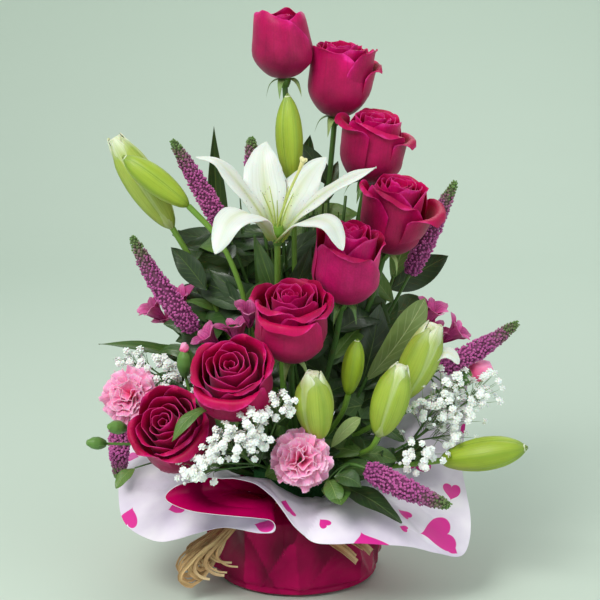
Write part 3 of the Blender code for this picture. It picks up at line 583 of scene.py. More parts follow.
def speckLook(name, stops, roughness=0.7, scale=200.0, value="share", sheen=0.0, soft=0.0, spread=0.3):
    # for small copied florets: the colour runs along the copy's own share, or its tint
    tree, shader = newLook(name, roughness, Sheen_Weight=sheen, Subsurface_Weight=soft,
                           Subsurface_Scale=0.002)
    mottle = mottleIn(tree, scale)
    body = rampIn(tree, attributeIn(tree, value), stops)
    paint(tree, shader, body, swingIn(tree, mottle["Blotch"], spread * 2, 1.0))
    bumpIn(tree, shader, mottle["Grain"], 0.4, 0.0003)


# each rose ramp starts dark at the petal's base: partly the petal's own deep crimson, partly painted shade deep
# between the petals
petalLook("roseInner", "0 480018, 0.4 7c002a, 0.72 a40038, 0.92 b40048, 0.985 c4005a, 1 d22a7c", "5a0020",
          0.1, 60, 0.5, 0.22, 0.1, 0.05)
petalLook("roseOuter", "0 560e2e, 0.22 7a103e, 0.6 981048, 0.86 ac0850, 0.965 c80064, 1 e0288c", "6a0c38",
          0.16, 54, 0.45, 0.38, 0.1, 0.16)
petalLook("rosePale", "0 6c1238, 0.22 94104a, 0.6 be1464, 0.86 cc126c, 0.965 d40a6e, 1 e2328c", "7e0a46",
          0.16, 54, 0.45, 0.42, 0.1, 0.12)
for name, low, high, spot in (
        ("roseHip", "3f6a2a", "6d9440", "7a8a4a"), ("greenStem", "2c4a22", "4c7430", "5e4a2a"),
        ("paleStem", "3c6a2c", "7ea83c", "5a7c34"), ("calyx", "3f6a30", "6f9a48", "88a860")):
    stemLook(name, low, high, spot)
for name, dark, light, vein, roughness, pairs in (
        ("sepal", "4f7a36", "9db56c", "c8cf9a", 0.5, 5.0), ("darkLeaf", "1f3818", "3c5c2a", "66843e", 0.36, 9.0),
        ("freshLeaf", "345a22", "678a3a", "9bb266", 0.4, 9.0), ("bladeLeaf", "2a4a1e", "52782e", "7c9c48", 0.36, 2.0),
        ("spoonLeaf", "6c8244", "92a664", "d2dca4", 0.45, 7.0),
        ("darkLeafBack", "3a5634", "5a7646", "8a9f62", 0.55, 9.0),
        ("freshLeafBack", "4a6c3c", "7c9a5e", "a3b880", 0.6, 9.0)):
    leafLook(name, dark, light, vein, roughness, pairs, name.endswith("Back"))
print("finishes ready")


# roses
# open: 0 is a bud and 1 wide open; turn: where the wound heart starts, in degrees; outer: big
# petals listed as (degrees from the front, half width, rim radius, top, roll, tilt)
roses = {
    1: dict(open=0.1, petals=15, turn=10, wide=1.18, crown=0.89, dome=0.08, outer=(
        (165, 88, 0.72, 0.91, -0.1, 0), (78, 86, 0.76, 0.9, -0.1, 0.03), (-30, 96, 0.8, 0.93, -0.1, -0.15))),
    2: dict(open=0.35, petals=16, turn=140, wide=1.04, crown=0.97, outer=(
        (150, 60, 0.96, 0.92, 0.08, 0), (-30, 80, 0.92, 0.96, 0.05, -0.06), (64, 50, 1.02, 0.96, 0.08, 0.03),
        (92, 44, 1.14, 0.74, 0.16, 0.05))),
    3: dict(open=0.45, petals=15, turn=60, wide=1.0, crown=0.97, outer=(
        (-70, 60, 1.04, 0.9, 0.18, -0.04), (5, 72, 0.94, 0.9, 0.14, -0.13), (85, 50, 1.06, 0.74, 0.22, 0),
        (170, 60, 0.96, 0.96, 0.12, 0))),
    4: dict(open=0.6, petals=16, turn=200, wide=0.97, crown=0.97, outer=(
        (-72, 60, 1.0, 0.86, 0.12, -0.04), (-10, 68, 0.92, 0.88, 0.12, -0.16), (75, 58, 1.2, 0.72, 0.24, 0.05),
        (165, 60, 0.94, 0.92, 0.12, 0))),
    5: dict(open=0.45, petals=15, turn=300, wide=1.04, crown=1.0, pale=True, outer=(
        (105, 62, 0.98, 0.88, 0.1, 0.02), (-125, 58, 0.92, 0.92, 0.08, 0), (-5, 82, 0.97, 0.82, 0.1, -0.13))),
    6: dict(open=0.8, petals=15, turn=30, wide=0.95, crown=0.97, outer=(
        (-45, 58, 0.84, 0.9, 0.13, 0.03), (35, 60, 0.87, 0.86, 0.15, 0.04), (130, 60, 0.9, 0.9, 0.1, 0),
        (-110, 56, 0.94, 0.88, 0.14, 0), (75, 54, 0.96, 0.82, 0.16, 0.05), (-12, 68, 0.94, 0.76, 0.21, -0.02))),
    7: dict(open=0.85, petals=14, turn=0, wide=0.98, crown=0.95, outer=(
        (28, 60, 0.8, 0.86, 0.1, 0), (130, 62, 0.84, 0.9, 0.1, 0), (-100, 66, 0.84, 0.88, 0.17, 0.03),
        (100, 62, 0.9, 0.82, 0.14, 0), (-18, 74, 0.88, 0.76, 0.21, 0.06))),
    8: dict(open=0.82, petals=14, turn=80, wide=0.98, crown=0.94, outer=(
        (10, 60, 0.82, 0.84, 0.1, 0), (120, 64, 0.86, 0.88, 0.1, 0), (-85, 66, 0.86, 0.84, 0.16, 0),
        (170, 60, 0.94, 0.86, 0.1, 0), (30, 74, 0.9, 0.74, 0.2, -0.05))),
}
roseParts = dict(wall=0.00045, spiral=0.035, hip=(0.0026, 0.0048, 0.0056, 0.0048, 0.003), sepal=0.0036)


def petalProfile(belly, rim, top, roll):
    # the middle line of a petal as (radius, height): up from the neck, out, in and rolled over
    return [(0.07, 0.0), (0.55 * belly + 0.03, 0.08), (0.98 * belly, 0.32),
            (0.55 * belly + 0.45 * rim, 0.66 * top), (rim - 0.1 * roll, 0.93 * top), (rim + 0.35 * roll, top),
            (rim + 0.9 * roll, top - 0.1 * roll), (rim + 1.1 * roll, top - 0.55 * roll)]


def roundAxis(r, angle, z, size, turned, spot):
    # points from their radius, angle from the front and height, on a standing frame
    radius, height = size
    return np.column_stack([r * np.sin(angle) * radius, -r * np.cos(angle) * radius,
                            z * height]) @ turned.T + spot


def rosePetal(k, profile, middle, half, roll, frameOf, grid, back, crimp=1.0, tilt=0.0):
    phase, curl = chance.uniform(0, tau), max(0.0, roll)
    drop, point = chance.uniform(0.18, 0.28) * (0.4 + 0.6 * crimp), chance.uniform(0.01, 0.045) * crimp

    def place(u, v):
        s = 2 * u - 1
        t = v * (1 - drop * np.abs(s) ** 2.2)
        rz = curveAt(profile, t)
        rim = np.clip((t - 0.74) / 0.26, 0, 1) ** 2
        angle = middle + s * half * np.interp(t, (0, 0.12, 0.5, 0.8, 1), (0.35, 0.62, 1, 1, 0.94))
        r = rz[:, 0] + roseParts["spiral"] * s * np.minimum(1, 3 * t) + rim * curl * (0.8 * np.abs(s) ** 1.5
                                                                                      - 0.15)
        wave = 0.6 * np.sin(5 * s + phase) + 0.4 * np.sin(12 * s + 2 * phase) + 0.25 * np.sin(23 * s + 3
                                                                                              * phase)
        r = r + crimp * (0.02 * np.sin(3 * angle + phase) * v + 0.03 * rim * wave)
        z = rz[:, 1] - rim * curl * 0.32 * np.abs(s) ** 1.5 + point * rim * (1 - np.abs(s)) ** 2
        z = z + crimp * 0.014 * rim * np.sin(8 * s + 2 * phase) + tilt * s * t**2
        return roundAxis(r, angle, z, *frameOf)

    return gridSheet(f"petal{k}", *grid, place, [back, "roseInner"], chance.uniform(0.1, 0.9))


def headOf(node, foot, axis):
    # a bloom's lowest and highest point along its stem's axis, and its radius
    corners = shapeOf(node)
    along = (corners - foot) @ axis
    return along.min(), along.max(), np.linalg.norm(corners - foot - np.outer(along, axis),
                                                    axis=1).max() * 0.9


def makeRose(number):
    style, stem = roses[number], readSolid(f"rose_stem_{number}")
    foot = stem["line"][-1]
    axis = unit(foot - stem["line"][-3])
    low, high, radius = headOf(f"rose_bloom_{number}", foot, axis)
    frameOf = (radius * style["wide"], high - low), standing(axis), foot + axis * (low - 0.001)
    opened, count = style["open"], style["petals"]
    back = "rosePale" if "pale" in style else "roseOuter"
    parts = []
    for k in range(count):
        q = k / (count - 1)
        belly = np.interp(q, (0, 0.5, 0.8, 1), (0.1, 0.42, 0.66 - 0.06 * opened, 0.86 - 0.16 * opened))
        rim = belly * (0.74 + 0.2 * q + 0.1 * opened * q**1.5)
        top = (style["crown"] - 0.08 + 0.1 * min(1, q / 0.4) - 0.12 * opened * max(0, q - 0.4) ** 1.2
               - style.get("dome", 0) * q**2 + chance.uniform(-0.02, 0.02))
        roll = 0.012 + 0.12 * opened * max(0, q - 0.45)
        middle = math.radians(style["turn"]) + k * golden
        half = math.radians(np.interp(q, (0, 0.5, 1), (115, 88, 72)) + chance.uniform(-6, 6))
        grid, crimp = ((12, 10), 0.25) if q < 0.4 else ((15, 12), 0.6)
        parts.append(rosePetal(k, petalProfile(belly, rim, top, roll), middle, half, roll, frameOf, grid, back,
                               crimp))
    far = len(style["outer"])
    for k, (degrees, half, rim, top, roll, tilt) in enumerate(style["outer"]):
        profile = petalProfile(1.0 - 0.045 * (far - 1 - k) if opened > 0.5 else 0.92 + 0.02 * k, rim, top,
                               roll)
        parts.append(rosePetal(count + k, profile, math.radians(degrees), math.radians(half), roll, frameOf,
                               (24, 18), back, 1.0, tilt))
    bloom = joined(f"roseBloom{number}", parts)
    thicken(bloom, roseParts["wall"], backLook=1, rimLook=1)
    dress(bloom, f"rose_bloom_{number}", 70)

    hip = np.vstack([stem["line"][-4:], foot + axis * 0.002])
    parts = [tubeSheet("roseStem", stem["line"], stem["radii"], "greenStem", 10, 30),
             tubeSheet("roseHip", hip, roseParts["hip"], "roseHip", 12, 10)]
    for way in (branch["line"] for branch in stem["branches"]):
        out = unit(way[-1] - foot - axis * np.dot(way[-1] - foot, axis))
        line = [foot - axis * 0.001 + out * 0.003, *way[1:], way[-1] - axis * 0.004 + out * 0.001]
        parts.append(bladeSheet("sepal", line, np.array((axis + out,) * 5), roseParts["sepal"], ["sepal"],
                                outline((0, 0.2, 0.5, 1), (0.8, 1, 0.6, 0.02)), 4, 10, 0.3,
                                tint=chance.random()))
    dress(joined(f"roseStem{number}", parts), f"rose_stem_{number}")


for number in roses:
    makeRose(number)
print("roses made")


# the open lily
lily = dict(ruffle=0.07, fold=0.16, wall=0.0007, filaments=5, cup=(0.0028, 0.0032, 0.0046, 0.0058, 0.004))
tepalOutline = outline((0, 0.1, 0.3, 0.52, 0.72, 0.88, 0.97, 1), (0.3, 0.42, 0.8, 1.0, 0.86, 0.5, 0.18, 0.02))


def lilyLook(name, middle, edge, throat, specks):
    # white with a green middle line and throat, fine veins, and dark specks near the base
    tree, shader = newLook(name, 0.42, Subsurface_Weight=0.18, Subsurface_Scale=0.006, Sheen_Weight=0.15)
    lines = groupIn(tree, "longStreaks", Across=26.0, Along=1.2, Shift=attributeIn(tree, "tint"))
    along, mottle = lines["Along"], mottleIn(tree, 60.0)
    fade = rampIn(tree, along, "0 1, 0.3 0.85, 0.62 0.35, 0.95 0.05")
    rib = rampIn(tree, lines["Side"], "0 1, 0.1 0.75, 0.3 0.2, 0.6 0")
    body = mixIn(tree, timesIn(tree, rib, fade), edge, middle)
    body = mixIn(tree, rampIn(tree, along, "0.04 1, 0.16 0.6, 0.34 0"), body, throat)
    body = mixIn(tree, timesIn(tree, minusIn(tree, lines["Streak"], 0.5, clamp=True), 1.4), body, "b4baa8")
    if specks:
        uv = nodeIn(tree, "ShaderNodeUVMap", uv_map="UVMap")
        stretched = nodeIn(tree, "ShaderNodeMapping", (uv.outputs[0], 0), ((9, 26, 1), "Scale"))
        spots = nodeIn(tree, "ShaderNodeTexVoronoi", (stretched.outputs[0], "Vector"), (1.0, "Scale")).outputs
        dot = timesIn(tree, minusIn(tree, 0.17, spots["Distance"]), 16.0, clamp=True)
        lot = nodeIn(tree, "ShaderNodeSeparateColor", (spots["Color"], 0))
        few = mathIn(tree, "LESS_THAN", lot.outputs[0], 0.5)
        zone = rampIn(tree, along, "0.14 0, 0.2 1, 0.42 1, 0.55 0")
        body = mixIn(tree, timesIn(tree, timesIn(tree, dot, few), zone), body, "4a2430")
    paint(tree, shader, body)
    bumpIn(tree, shader, plusIn(tree, lines["Streak"], timesIn(tree, mottle["Grain"], 0.3)), 0.5)


lilyLook("lilyInner", "b4c462", "dfe2dd", "98b03a", True)
lilyLook("lilyOuter", "a4b866", "d6dbcf", "8aa040", False)
speckLook("style", "0 9fb451, 0.75 c3cc74, 0.92 e0d88e, 1 e6dfa6", 0.45, value="tint")


def facedTo(facing, guide, first=1):
    # a branch's facing sides, each turned over where it looks away from the guide or the one before
    facing = np.vstack([facing[1:2], facing[1:]])
    for j in range(len(facing)):
        facing[j] *= 1 if np.dot(facing[j], guide if j < first else facing[j - 1]) > 0 else -1
    return facing


def makeLily():
    stem = readSolid("lily_stem")
    solid = readSolid("lily_flower", 6, stem["line"][-1])
    throat = solid["line"][-1]
    axis = unit(throat - solid["line"][0])
    parts = []
    for k, branch in enumerate(solid["branches"]):
        line = branch["line"].copy()
        line[0] = solid["line"][1] + (line[0] - throat) * 0.5
        facing = facedTo(branch["facing"], axis + (throat - line[1]) * 8, 2)
        parts.append(bladeSheet("tepal", line, facing, branch["half"][1:].max() * 1.02, ["lilyInner",
                                                                                         "lilyOuter"],
                                tepalOutline, 14, 28, lily["fold"], lily["ruffle"], 2.6, 0.22, chance.random(),
                                1.7 * k))
    flower = joined("lilyFlower", parts)
    thicken(flower, lily["wall"], backLook=1, rimLook=0)
    cup = tubeSheet("lilyCup", np.vstack([stem["line"][-1:], solid["line"]]), lily["cup"], "paleStem", 12, 10)
    dress(joined("lilyFlower", [flower, cup]), "lily_flower", 75)

    line = readSolid("lily_pistil", 6, throat)["line"]
    foot, tip, up = throat - axis * 0.006, line[-1], unit(line[-1] - line[-3])
    style = tubeSheet("style", np.vstack([foot[None], line]), [0.0012, *[0.0011] * (len(line) - 2), 0.0017,
                                                               0.0026], "style", 10, 30)
    share = (spotsOf(style.data) - foot) @ unit(tip - foot) / np.linalg.norm(tip - foot)
    mark(style.data, "tint", np.clip(share, 0, 1))
    parts = [style]
    for k in range(3):
        out = around(standing(up), tau * k / 3 + 0.4)
        lobe = [tip - up * 0.002, tip + out * 0.0016 + up * 0.0004, tip + out * 0.003 + up * 0.0008]
        parts.append(tubeSheet("lobe", lobe, (0.0016, 0.0019, 0.0013), "style", 8, 8, 1.0))
    for k in range(lily["filaments"]):
        out = around(standing(axis), tau * k / lily["filaments"] + 0.9)
        reach = 0.034 + 0.006 * chance.random()
        base = foot + out * 0.002
        way = [base, base + axis * reach * 0.5 + out * 0.004, base + axis * reach + out * 0.011]
        parts.append(tubeSheet("filament", way, (0.0007, 0.0006, 0.0003), "style", 6, 12, 0.35))
    dress(joined("lilyPistil", parts), "lily_pistil")
    dress(tubeSheet("lilyStem", stem["line"], stem["radii"], "paleStem", 12, 36), "lily_stem")


makeLily()
print("lily made")


# lily buds
# open: how far the tips part; pale: 0 is bright green and 1 cream
lilyBuds = {
    1: dict(open=0.0, pale=0.15), 2: dict(open=0.65, pale=0.65), 3: dict(open=0.05, pale=0.1),
    4: dict(open=0.0, pale=0.0), 5: dict(open=0.6, pale=0.4), 6: dict(open=0.45, pale=0.32),
    7: dict(open=0.75, pale=0.42, curled=True), 8: dict(open=0.02, pale=0.08),
}
budParts = dict(wall=0.0006, curl=0.0056, spread=math.radians(56))


def budLook(name, green, lime, cream, edge):
    # tint runs from green to pale; the sides and tips of each tepal are paler
    tree, shader = newLook(name, 0.46, Subsurface_Weight=0.12, Subsurface_Scale=0.005, Coat_Weight=0.03)
    lines, mottle = groupIn(tree, "longStreaks", Across=30.0, Along=1.4), mottleIn(tree, 55.0)
    along, side, tint = lines["Along"], lines["Side"], attributeIn(tree, "tint")
    body = mixIn(tree, rampIn(tree, along, "0 0.15, 0.25 0.7, 0.7 0.55, 1 0"), green, lime)
    body = mixIn(tree, timesIn(tree, tint, 0.8), body, cream)
    body = mixIn(tree, timesIn(tree, rampIn(tree, side, "0 1, 0.1 0.5, 0.26 0"), 0.6), body, green)
    sides = rampIn(tree, side, "0.76 0, 0.88 0.45, 0.97 0.95")
    sides = timesIn(tree, sides, rampIn(tree, along, "0.25 0, 0.55 0.5, 0.85 1"))
    sides = timesIn(tree, sides, mathIn(tree, "MULTIPLY_ADD", tint, 1.3, 0.04, clamp=True))
    body = mixIn(tree, sides, body, edge)
    tips = rampIn(tree, along, "0.82 0, 0.97 0.8")
    body = mixIn(tree, timesIn(tree, tips, timesIn(tree, tint, 0.9)), body, edge)
    body = mixIn(tree, timesIn(tree, minusIn(tree, lines["Streak"], 0.48, clamp=True), 2.4), body, green)
    paint(tree, shader, body, swingIn(tree, mottle["Blotch"], 0.35, 1.0))
    bumpIn(tree, shader, lines["Streak"], 0.9)


budLook("bud", "76951e", "aec42c", "bcc766", "eff1dc")
budLook("budInner", "9db44c", "bccb6c", "cdd698", "f6f6ea")


def budTepal(number, k, inner, frameOf):
    opened, pale = lilyBuds[number]["open"], lilyBuds[number]["pale"]
    middle = tau * k / 3 + (tau / 6 if inner else 0) + 0.5 * number
    scale, wide, shut, ridge = (0.9, 1.0, 0.12, 0.055) if inner else (1.0, 1.16, 0.0, 0.075)
    flare = 0.16 * opened * chance.uniform(0.5, 1.3)
    top = 1.0 - ((0.04 * chance.random() if inner else 0.05 + 0.06 * chance.random()) * opened)
    profile = [(0.12, -0.01), (0.5, 0.08), (0.84 * scale, 0.26), (1.0 * scale, 0.48),
               (0.9 * scale + 0.04 * opened, 0.7), (0.55 * scale + 0.24 * opened, 0.88 * top),
               (0.05 + 0.18 * opened + 0.28 * opened + flare, top)]
    narrowing = outline((0, 0.1, 0.6, 0.8, 0.92, 1), (1, 1, 1, 0.95 - 0.18 * opened + shut,
                        0.72 - 0.22 * opened + 2 * shut, 0.16 + 0.16 * opened + 2 * shut))

    def place(u, v):
        s = 2 * u - 1
        rz = curveAt(profile, v * (1 - 0.05 * s**2))
        angle = middle + s * wide * budParts["spread"] * narrowing(v)
        rib = ridge * np.exp(-((s / 0.2) ** 2)) * np.sin(math.pi * np.clip(v, 0, 1))
        r = rz[:, 0] * (1 - 0.11 * np.abs(s) ** 5 + rib)
        r = r + 0.05 * opened * np.abs(s) ** 2 * np.sin(7 * s + 3 * k + number) * np.clip((v - 0.7) / 0.3, 0,
                                                                                          1)
        return roundAxis(r, angle, rz[:, 1], *frameOf)

    bright = inner and opened > 0.2
    return gridSheet("budTepal", 12, 20, place, ["budInner" if bright else "bud"], 0.9 if bright else pale)


def makeBud(number):
    style, solid = lilyBuds[number], readSolid(f"lily_bud_{number}", 6)
    line, radii = solid["line"], solid["radii"]
    base, axis, radius, length = line[7], unit(line[-1] - line[7]), radii[8:].max(), np.linalg.norm(line[-1]
                                                                                                    - line[7])
    turned = standing(axis)
    parts = [budTepal(number, k, inner, ((radius, length), turned, base)) for inner in (True, False)
             for k in range(3)]
    if "curled" in style:
        side = turned @ np.array((0.9, -0.35, 0))
        spot = base + axis * length * 0.6 + side * radius * 0.62
        curl = [spot + np.array(step) * 0.001 for step in ((-5, 0, -9), (2, 0, 2), (10, -1, 6), (17, -2, 4),
                                                           (22, -3, -3))]
        parts.append(bladeSheet("budCurl", curl, (-0.3, -1.0, 0.8), budParts["curl"], ["lilyInner"],
                                outline((0, 0.3, 0.75, 0.94, 1), (1.0, 1, 0.8, 0.45, 0.12)), 8, 16, 0.35,
                                tint=1.0))
    bud = joined(f"lilyBud{number}", parts)
    thicken(bud, budParts["wall"])
    widths = (0.05, 0.4, 0.68, 0.66, 0.34 + 0.22 * style["open"], 0.1 + 0.24 * style["open"])
    heart = tubeSheet("budHeart", [base + axis * length * t for t in (0.04, 0.14, 0.3, 0.6, 0.86, 0.97)],
                      [radius * wide for wide in widths], "budInner", 12, 16, 0.9)
    stalk = tubeSheet("budStalk", line[:8], [*radii[:7], radii[7] * 1.25], "paleStem", 10, 26)
    dress(joined(f"lilyBud{number}", [bud, heart, stalk]), f"lily_bud_{number}")


for number in lilyBuds:
    makeBud(number)
print("lily buds made")


# veronica spikes
veronica = dict(spikes=7, florets=560, floret=0.00175, tipFloret=0.0009, bow=(0.03, 0.02, 0))
speckLook("veronica", "0 a83c8c, 0.3 c658a4, 0.6 b44a98, 0.78 94507a, 0.88 5a7038, 1 5f8a38", 0.5, 320.0,
          "tint", sheen=0.3, spread=0.45)
speckLook("spikeCore", "0 7e2c6a, 0.6 74385e, 1 48642e", 0.8, value="tint")


def smallBud(finish, segments, rings, profile):
    # a small bud round z; profile gives its radius at even heights
    bpy.ops.mesh.primitive_uv_sphere_add(segments=segments, ring_count=rings, radius=1)
    made = bpy.context.object
    share = []
    for vert in made.data.vertices:
        t = 1 - math.acos(max(-1, min(1, vert.co.z))) / math.pi
        flat = math.hypot(vert.co.x, vert.co.y)
        scale = np.interp(t, np.linspace(0, 1, len(profile)), profile) / flat if flat > 1e-6 else 0
        vert.co = (vert.co.x * scale, vert.co.y * scale, t)
        share.append(t)
    mark(made.data, "share", share)
    made.data.materials.append(looks[finish])
    return made


def makeVeronica(number):
    solid = readSolid(f"veronica_{number}", 6)
    line, radii = solid["line"], solid["radii"]
    base, axis, length = line[7], unit(line[-1] - line[7]), np.linalg.norm(line[-1] - line[7])
    heights = (line[7:] - base) @ axis / length
    radii[7] = radii[8] * 0.5
    turned = standing(axis, turn=number)
    bow = turned @ np.array(veronica["bow"]) * length
    places = []
    for k in range(veronica["florets"]):
        t = 1 - (1 - (k + 0.5) / veronica["florets"]) ** 0.8
        wide = np.interp(t, heights, radii[7:]) * 0.86
        angle = k * golden + chance.uniform(-0.25, 0.25)
        out = around(turned, angle)
        spot = (base + axis * length * (t + chance.uniform(-0.008, 0.008)) + out * wide * chance.uniform(0.84,
                                                                                                         1.08)
                + bow * math.sin(math.pi * t))
        size = (veronica["floret"] * (1 - t) ** 0.35 + veronica["tipFloret"] * t) * chance.uniform(0.85, 1.2)
        lean = unit(out * (1.1 - 0.5 * t) + axis * (0.25 + 0.6 * t)
                    + np.array([chance.uniform(-0.18, 0.18) for _ in range(3)]))
        tint = min(1, max(0, t + chance.uniform(-0.07, 0.07)))
        places.append((spot, standing(lean, turn=angle) * np.array((size, size, size * 1.5)), tint))
    florets = copiesOf(f"veronica{number}", smallBud("veronica", 6, 4, (0.2, 0.55, 0.62, 0.45, 0.05)), places)
    knots = (0, 0.1, 0.3, 0.6, 0.85, 1)
    core = tubeSheet("spikeCore", [base + axis * length * t + bow * math.sin(math.pi * t) for t in knots],
                     [0.0015, *(np.interp(t, heights, radii[7:]) * 0.88 for t in knots[1:-1]), 0.001],
                     "spikeCore", 10, 20)
    mark(core.data, "tint", np.clip((spotsOf(core.data) - base) @ axis / length, 0, 1))
    stalk = tubeSheet("spikeStalk", line[:8], [*radii[:7], radii[6]], "greenStem", 8, 24)
    dress(joined(f"veronica{number}", [florets, core, stalk]), f"veronica_{number}", 50)


for number in range(1, veronica["spikes"] + 1):
    makeVeronica(number)
print("veronica made")


# carnations
carnations = dict(petals=32, ruffle=0.1, wall=0.0003, calyx=(0.0022, 0.0042, 0.0056, 0.0058, 0.0056),
                  bract=0.0016, grassLeaf=0.0018)
# how much of a bud its calyx covers, how wide the calyx is, and heights and widths of the petals' tip
carnationBuds = {
    1: dict(calyx=0.62, wide=0.86, tip=(0.32, 0.5, 0.72, 0.9, 1.0), widths=(0.6, 0.95, 0.98, 0.7, 0.25)),
    2: dict(calyx=0.86, wide=0.95, tip=(0.7, 0.78, 0.86, 0.94, 1.0), widths=(0.4, 0.55, 0.55, 0.42, 0.2)),
}
petalLook("carnation", "0 d3d6a8, 0.2 f04c8a, 0.6 ff8cba, 0.92 ffa8d2, 1 ffcce4", "f0609c", 0.3, 34, 0.6, 0.2,
          0.25)


def carnationPetal(k, q, radius, spot, turned):
    # a fan on a narrow claw, with a toothed and ruffled rim
    phase, angle = chance.uniform(0, tau), k * golden
    lean = math.radians(8 + 98 * q**0.75) + chance.uniform(-0.18, 0.18)
    reach = radius * (0.7 + 0.36 * q) * chance.uniform(0.88, 1.06)
    out, high = np.array((math.cos(angle), math.sin(angle), 0.0)), np.array((0, 0, 1.0))
    foot = high * 0.2 * radius + out * radius * 0.05
    tip = out * math.sin(lean) * reach + high * (0.34 * radius + math.cos(lean) * 0.72 * reach)
    line = [foot, foot * 0.5 + tip * 0.5 + high * radius * 0.16 * math.sin(lean), tip]
    share = np.linspace(0, 1, 12)
    _, up, side = turnAlong(curveAt(line, share), high * math.sin(lean) - out * math.cos(lean))
    waves, twist = chance.uniform(2.4, 3.8), chance.uniform(-0.35, 0.35)

    def place(u, v):
        s = 2 * u - 1
        teeth = np.abs(((s * 5.5 + phase) % 1) - 0.5) * np.clip(4 * v - 3, 0, 1)
        long = v * (1 - 0.2 * s**2 + 0.11 * teeth)
        middle = curveAt(line, np.clip(long, 0, 1))
        wide = radius * np.interp(v, (0, 0.3, 0.7, 1), (0.06, 0.18, 0.44, 0.54)) * s
        lift = radius * carnations["ruffle"] * v**2 * np.sin(waves * s * 2 + phase)
        lift = lift + radius * 0.03 * v**3 * np.sin(13 * s + 2
                                                    * phase) + wide * twist * v + radius * 0.1 * s**2 * v
        moved = middle + readAt(long, share, side) * wide[:, None] + readAt(long, share, up) * lift[:, None]
        return moved @ turned.T + spot

    return gridSheet("frill", 20, 9, place, ["carnation"], chance.uniform(0.2, 0.9))


def calyxTube(name, line, radii, columns, rows, tint, deep):
    # a closed green calyx with five ribs
    return tubeSheet(name, line, radii, "calyx", columns, rows, tint, lambda angle,
                     v: 1 + deep * np.cos(5 * angle) * v)


def budCalyx(name, spot, axis, length, radius, tint):
    return calyxTube(name, [spot + axis * length * t for t in (0, 0.15, 0.4, 0.7, 0.9, 1.0)],
                     [radius * wide for wide in (0.35, 0.8, 1.0, 0.86, 0.5, 0.12)], 14, 16, tint, 0.05)


def thinLeaf(name, line, half, rows):
    return bladeSheet(name, line, np.array((0, 0, 1.0)), half, ["calyx"], lambda v: 1 - 0.95 * v**2, 4, rows,
                      0.3)


def makeCarnation(number):
    stem = readSolid(f"carnation_stem_{number}")
    line = stem["line"]
    axis = unit(line[-1] - line[-3])
    low, _, radius = headOf(f"carnation_bloom_{number}", line[-1], axis)
    spot, turned, count = line[-1] + axis * (low - radius * 0.25), standing(axis), carnations["petals"]
    bloom = joined(f"carnationBloom{number}",
                   [carnationPetal(k, k / (count - 1), radius, spot, turned) for k in range(count)])
    thicken(bloom, carnations["wall"])
    dress(bloom, f"carnation_bloom_{number}", 75)
    parts = [tubeSheet("carnationStalk", line[:8], stem["radii"][:8], "calyx", 8, 24),
             calyxTube("calyx", line[7:], carnations["calyx"], 14, 14, 0.4, 0.07)]
    for branch in stem["branches"]:
        way = branch["line"]
        out = unit(way[-1] - way[-3])
        parts.append(tubeSheet("twig", way[:4], (0.0013, 0.0012, 0.0012, 0.0016), "calyx", 8, 12))
        parts.append(budCalyx("sideBud", way[3] - out * 0.002, out, np.linalg.norm(way[-1] - way[3]) + 0.002,
                              branch["half"][2:].max() * 0.92, 0.8))
        for side in (-1, 1):
            lean = unit(np.cross(out, (0, 0, 1))) * side
            bract = [way[2], way[2] + out * 0.006 + lean * 0.006, way[2] + out * 0.015 + lean * 0.011]
            parts.append(thinLeaf("bract", bract, carnations["bract"], 6))
    for start, after in zip(line[2:6], line[3:7]):
        along = unit(after - start)
        away = unit(np.cross(along, (0, 0, 1.0)))
        for side in (-1, 1):
            tip = start + (away * side * 0.018 + along * 0.028)
            path = [start, (start + tip) / 2 + (0, 0, 0.003), tip - (0, 0, 0.003)]
            parts.append(thinLeaf("grassLeaf", path, carnations["grassLeaf"], 8))
    dress(joined(f"carnationStem{number}", parts), f"carnation_stem_{number}")


def makeCarnationBud(number):
    style, solid = carnationBuds[number], readSolid(f"carnation_bud_{number}", 6)
    line, radii = solid["line"], solid["radii"]
    base, axis, length, widest = line[7], unit(line[-1] - line[7]), np.linalg.norm(line[-1]
                                                                                   - line[7]), radii[8:].max()
    parts = [tubeSheet("budStalk", line[:8], radii[:8], "calyx", 8, 22), budCalyx("calyx", base - axis * 0.001,
                                                                                  axis,
                                                                                  length * style["calyx"],
                                                                                  widest * style["wide"], 0.6),
             tubeSheet("budTip", [base + axis * length * t for t in style["tip"]],
                       [widest * wide for wide in style["widths"]], "carnation", 16, 16, 0.7, lambda angle,
                       v: 1 + 0.09 * np.sin(3 * angle + 8 * v))]
    dress(joined(f"carnationBud{number}", parts), f"carnation_bud_{number}")


for makeOne in (makeCarnation, makeCarnationBud):
    for number in carnationBuds:
        makeOne(number)
print("carnations made")


# gypsophila
gypsophila = {1: dict(florets=14, spread=0.016), 2: dict(florets=25, spread=0.021), 3: dict(florets=27,
                                                                                            spread=0.026)}
gypsParts = dict(petals=13, floret=(0.0032, 0.0044), bud=0.0017, budShare=0.16, thread=0.00028, twig=0.0007)
speckLook("gypsophila", "0 e6e9da, 0.22 f4f5f0, 1 ffffff", 0.8, soft=0.2, spread=0.12)
speckLook("twig", "0 4d6a3a, 1 7e9a5e", 0.6)


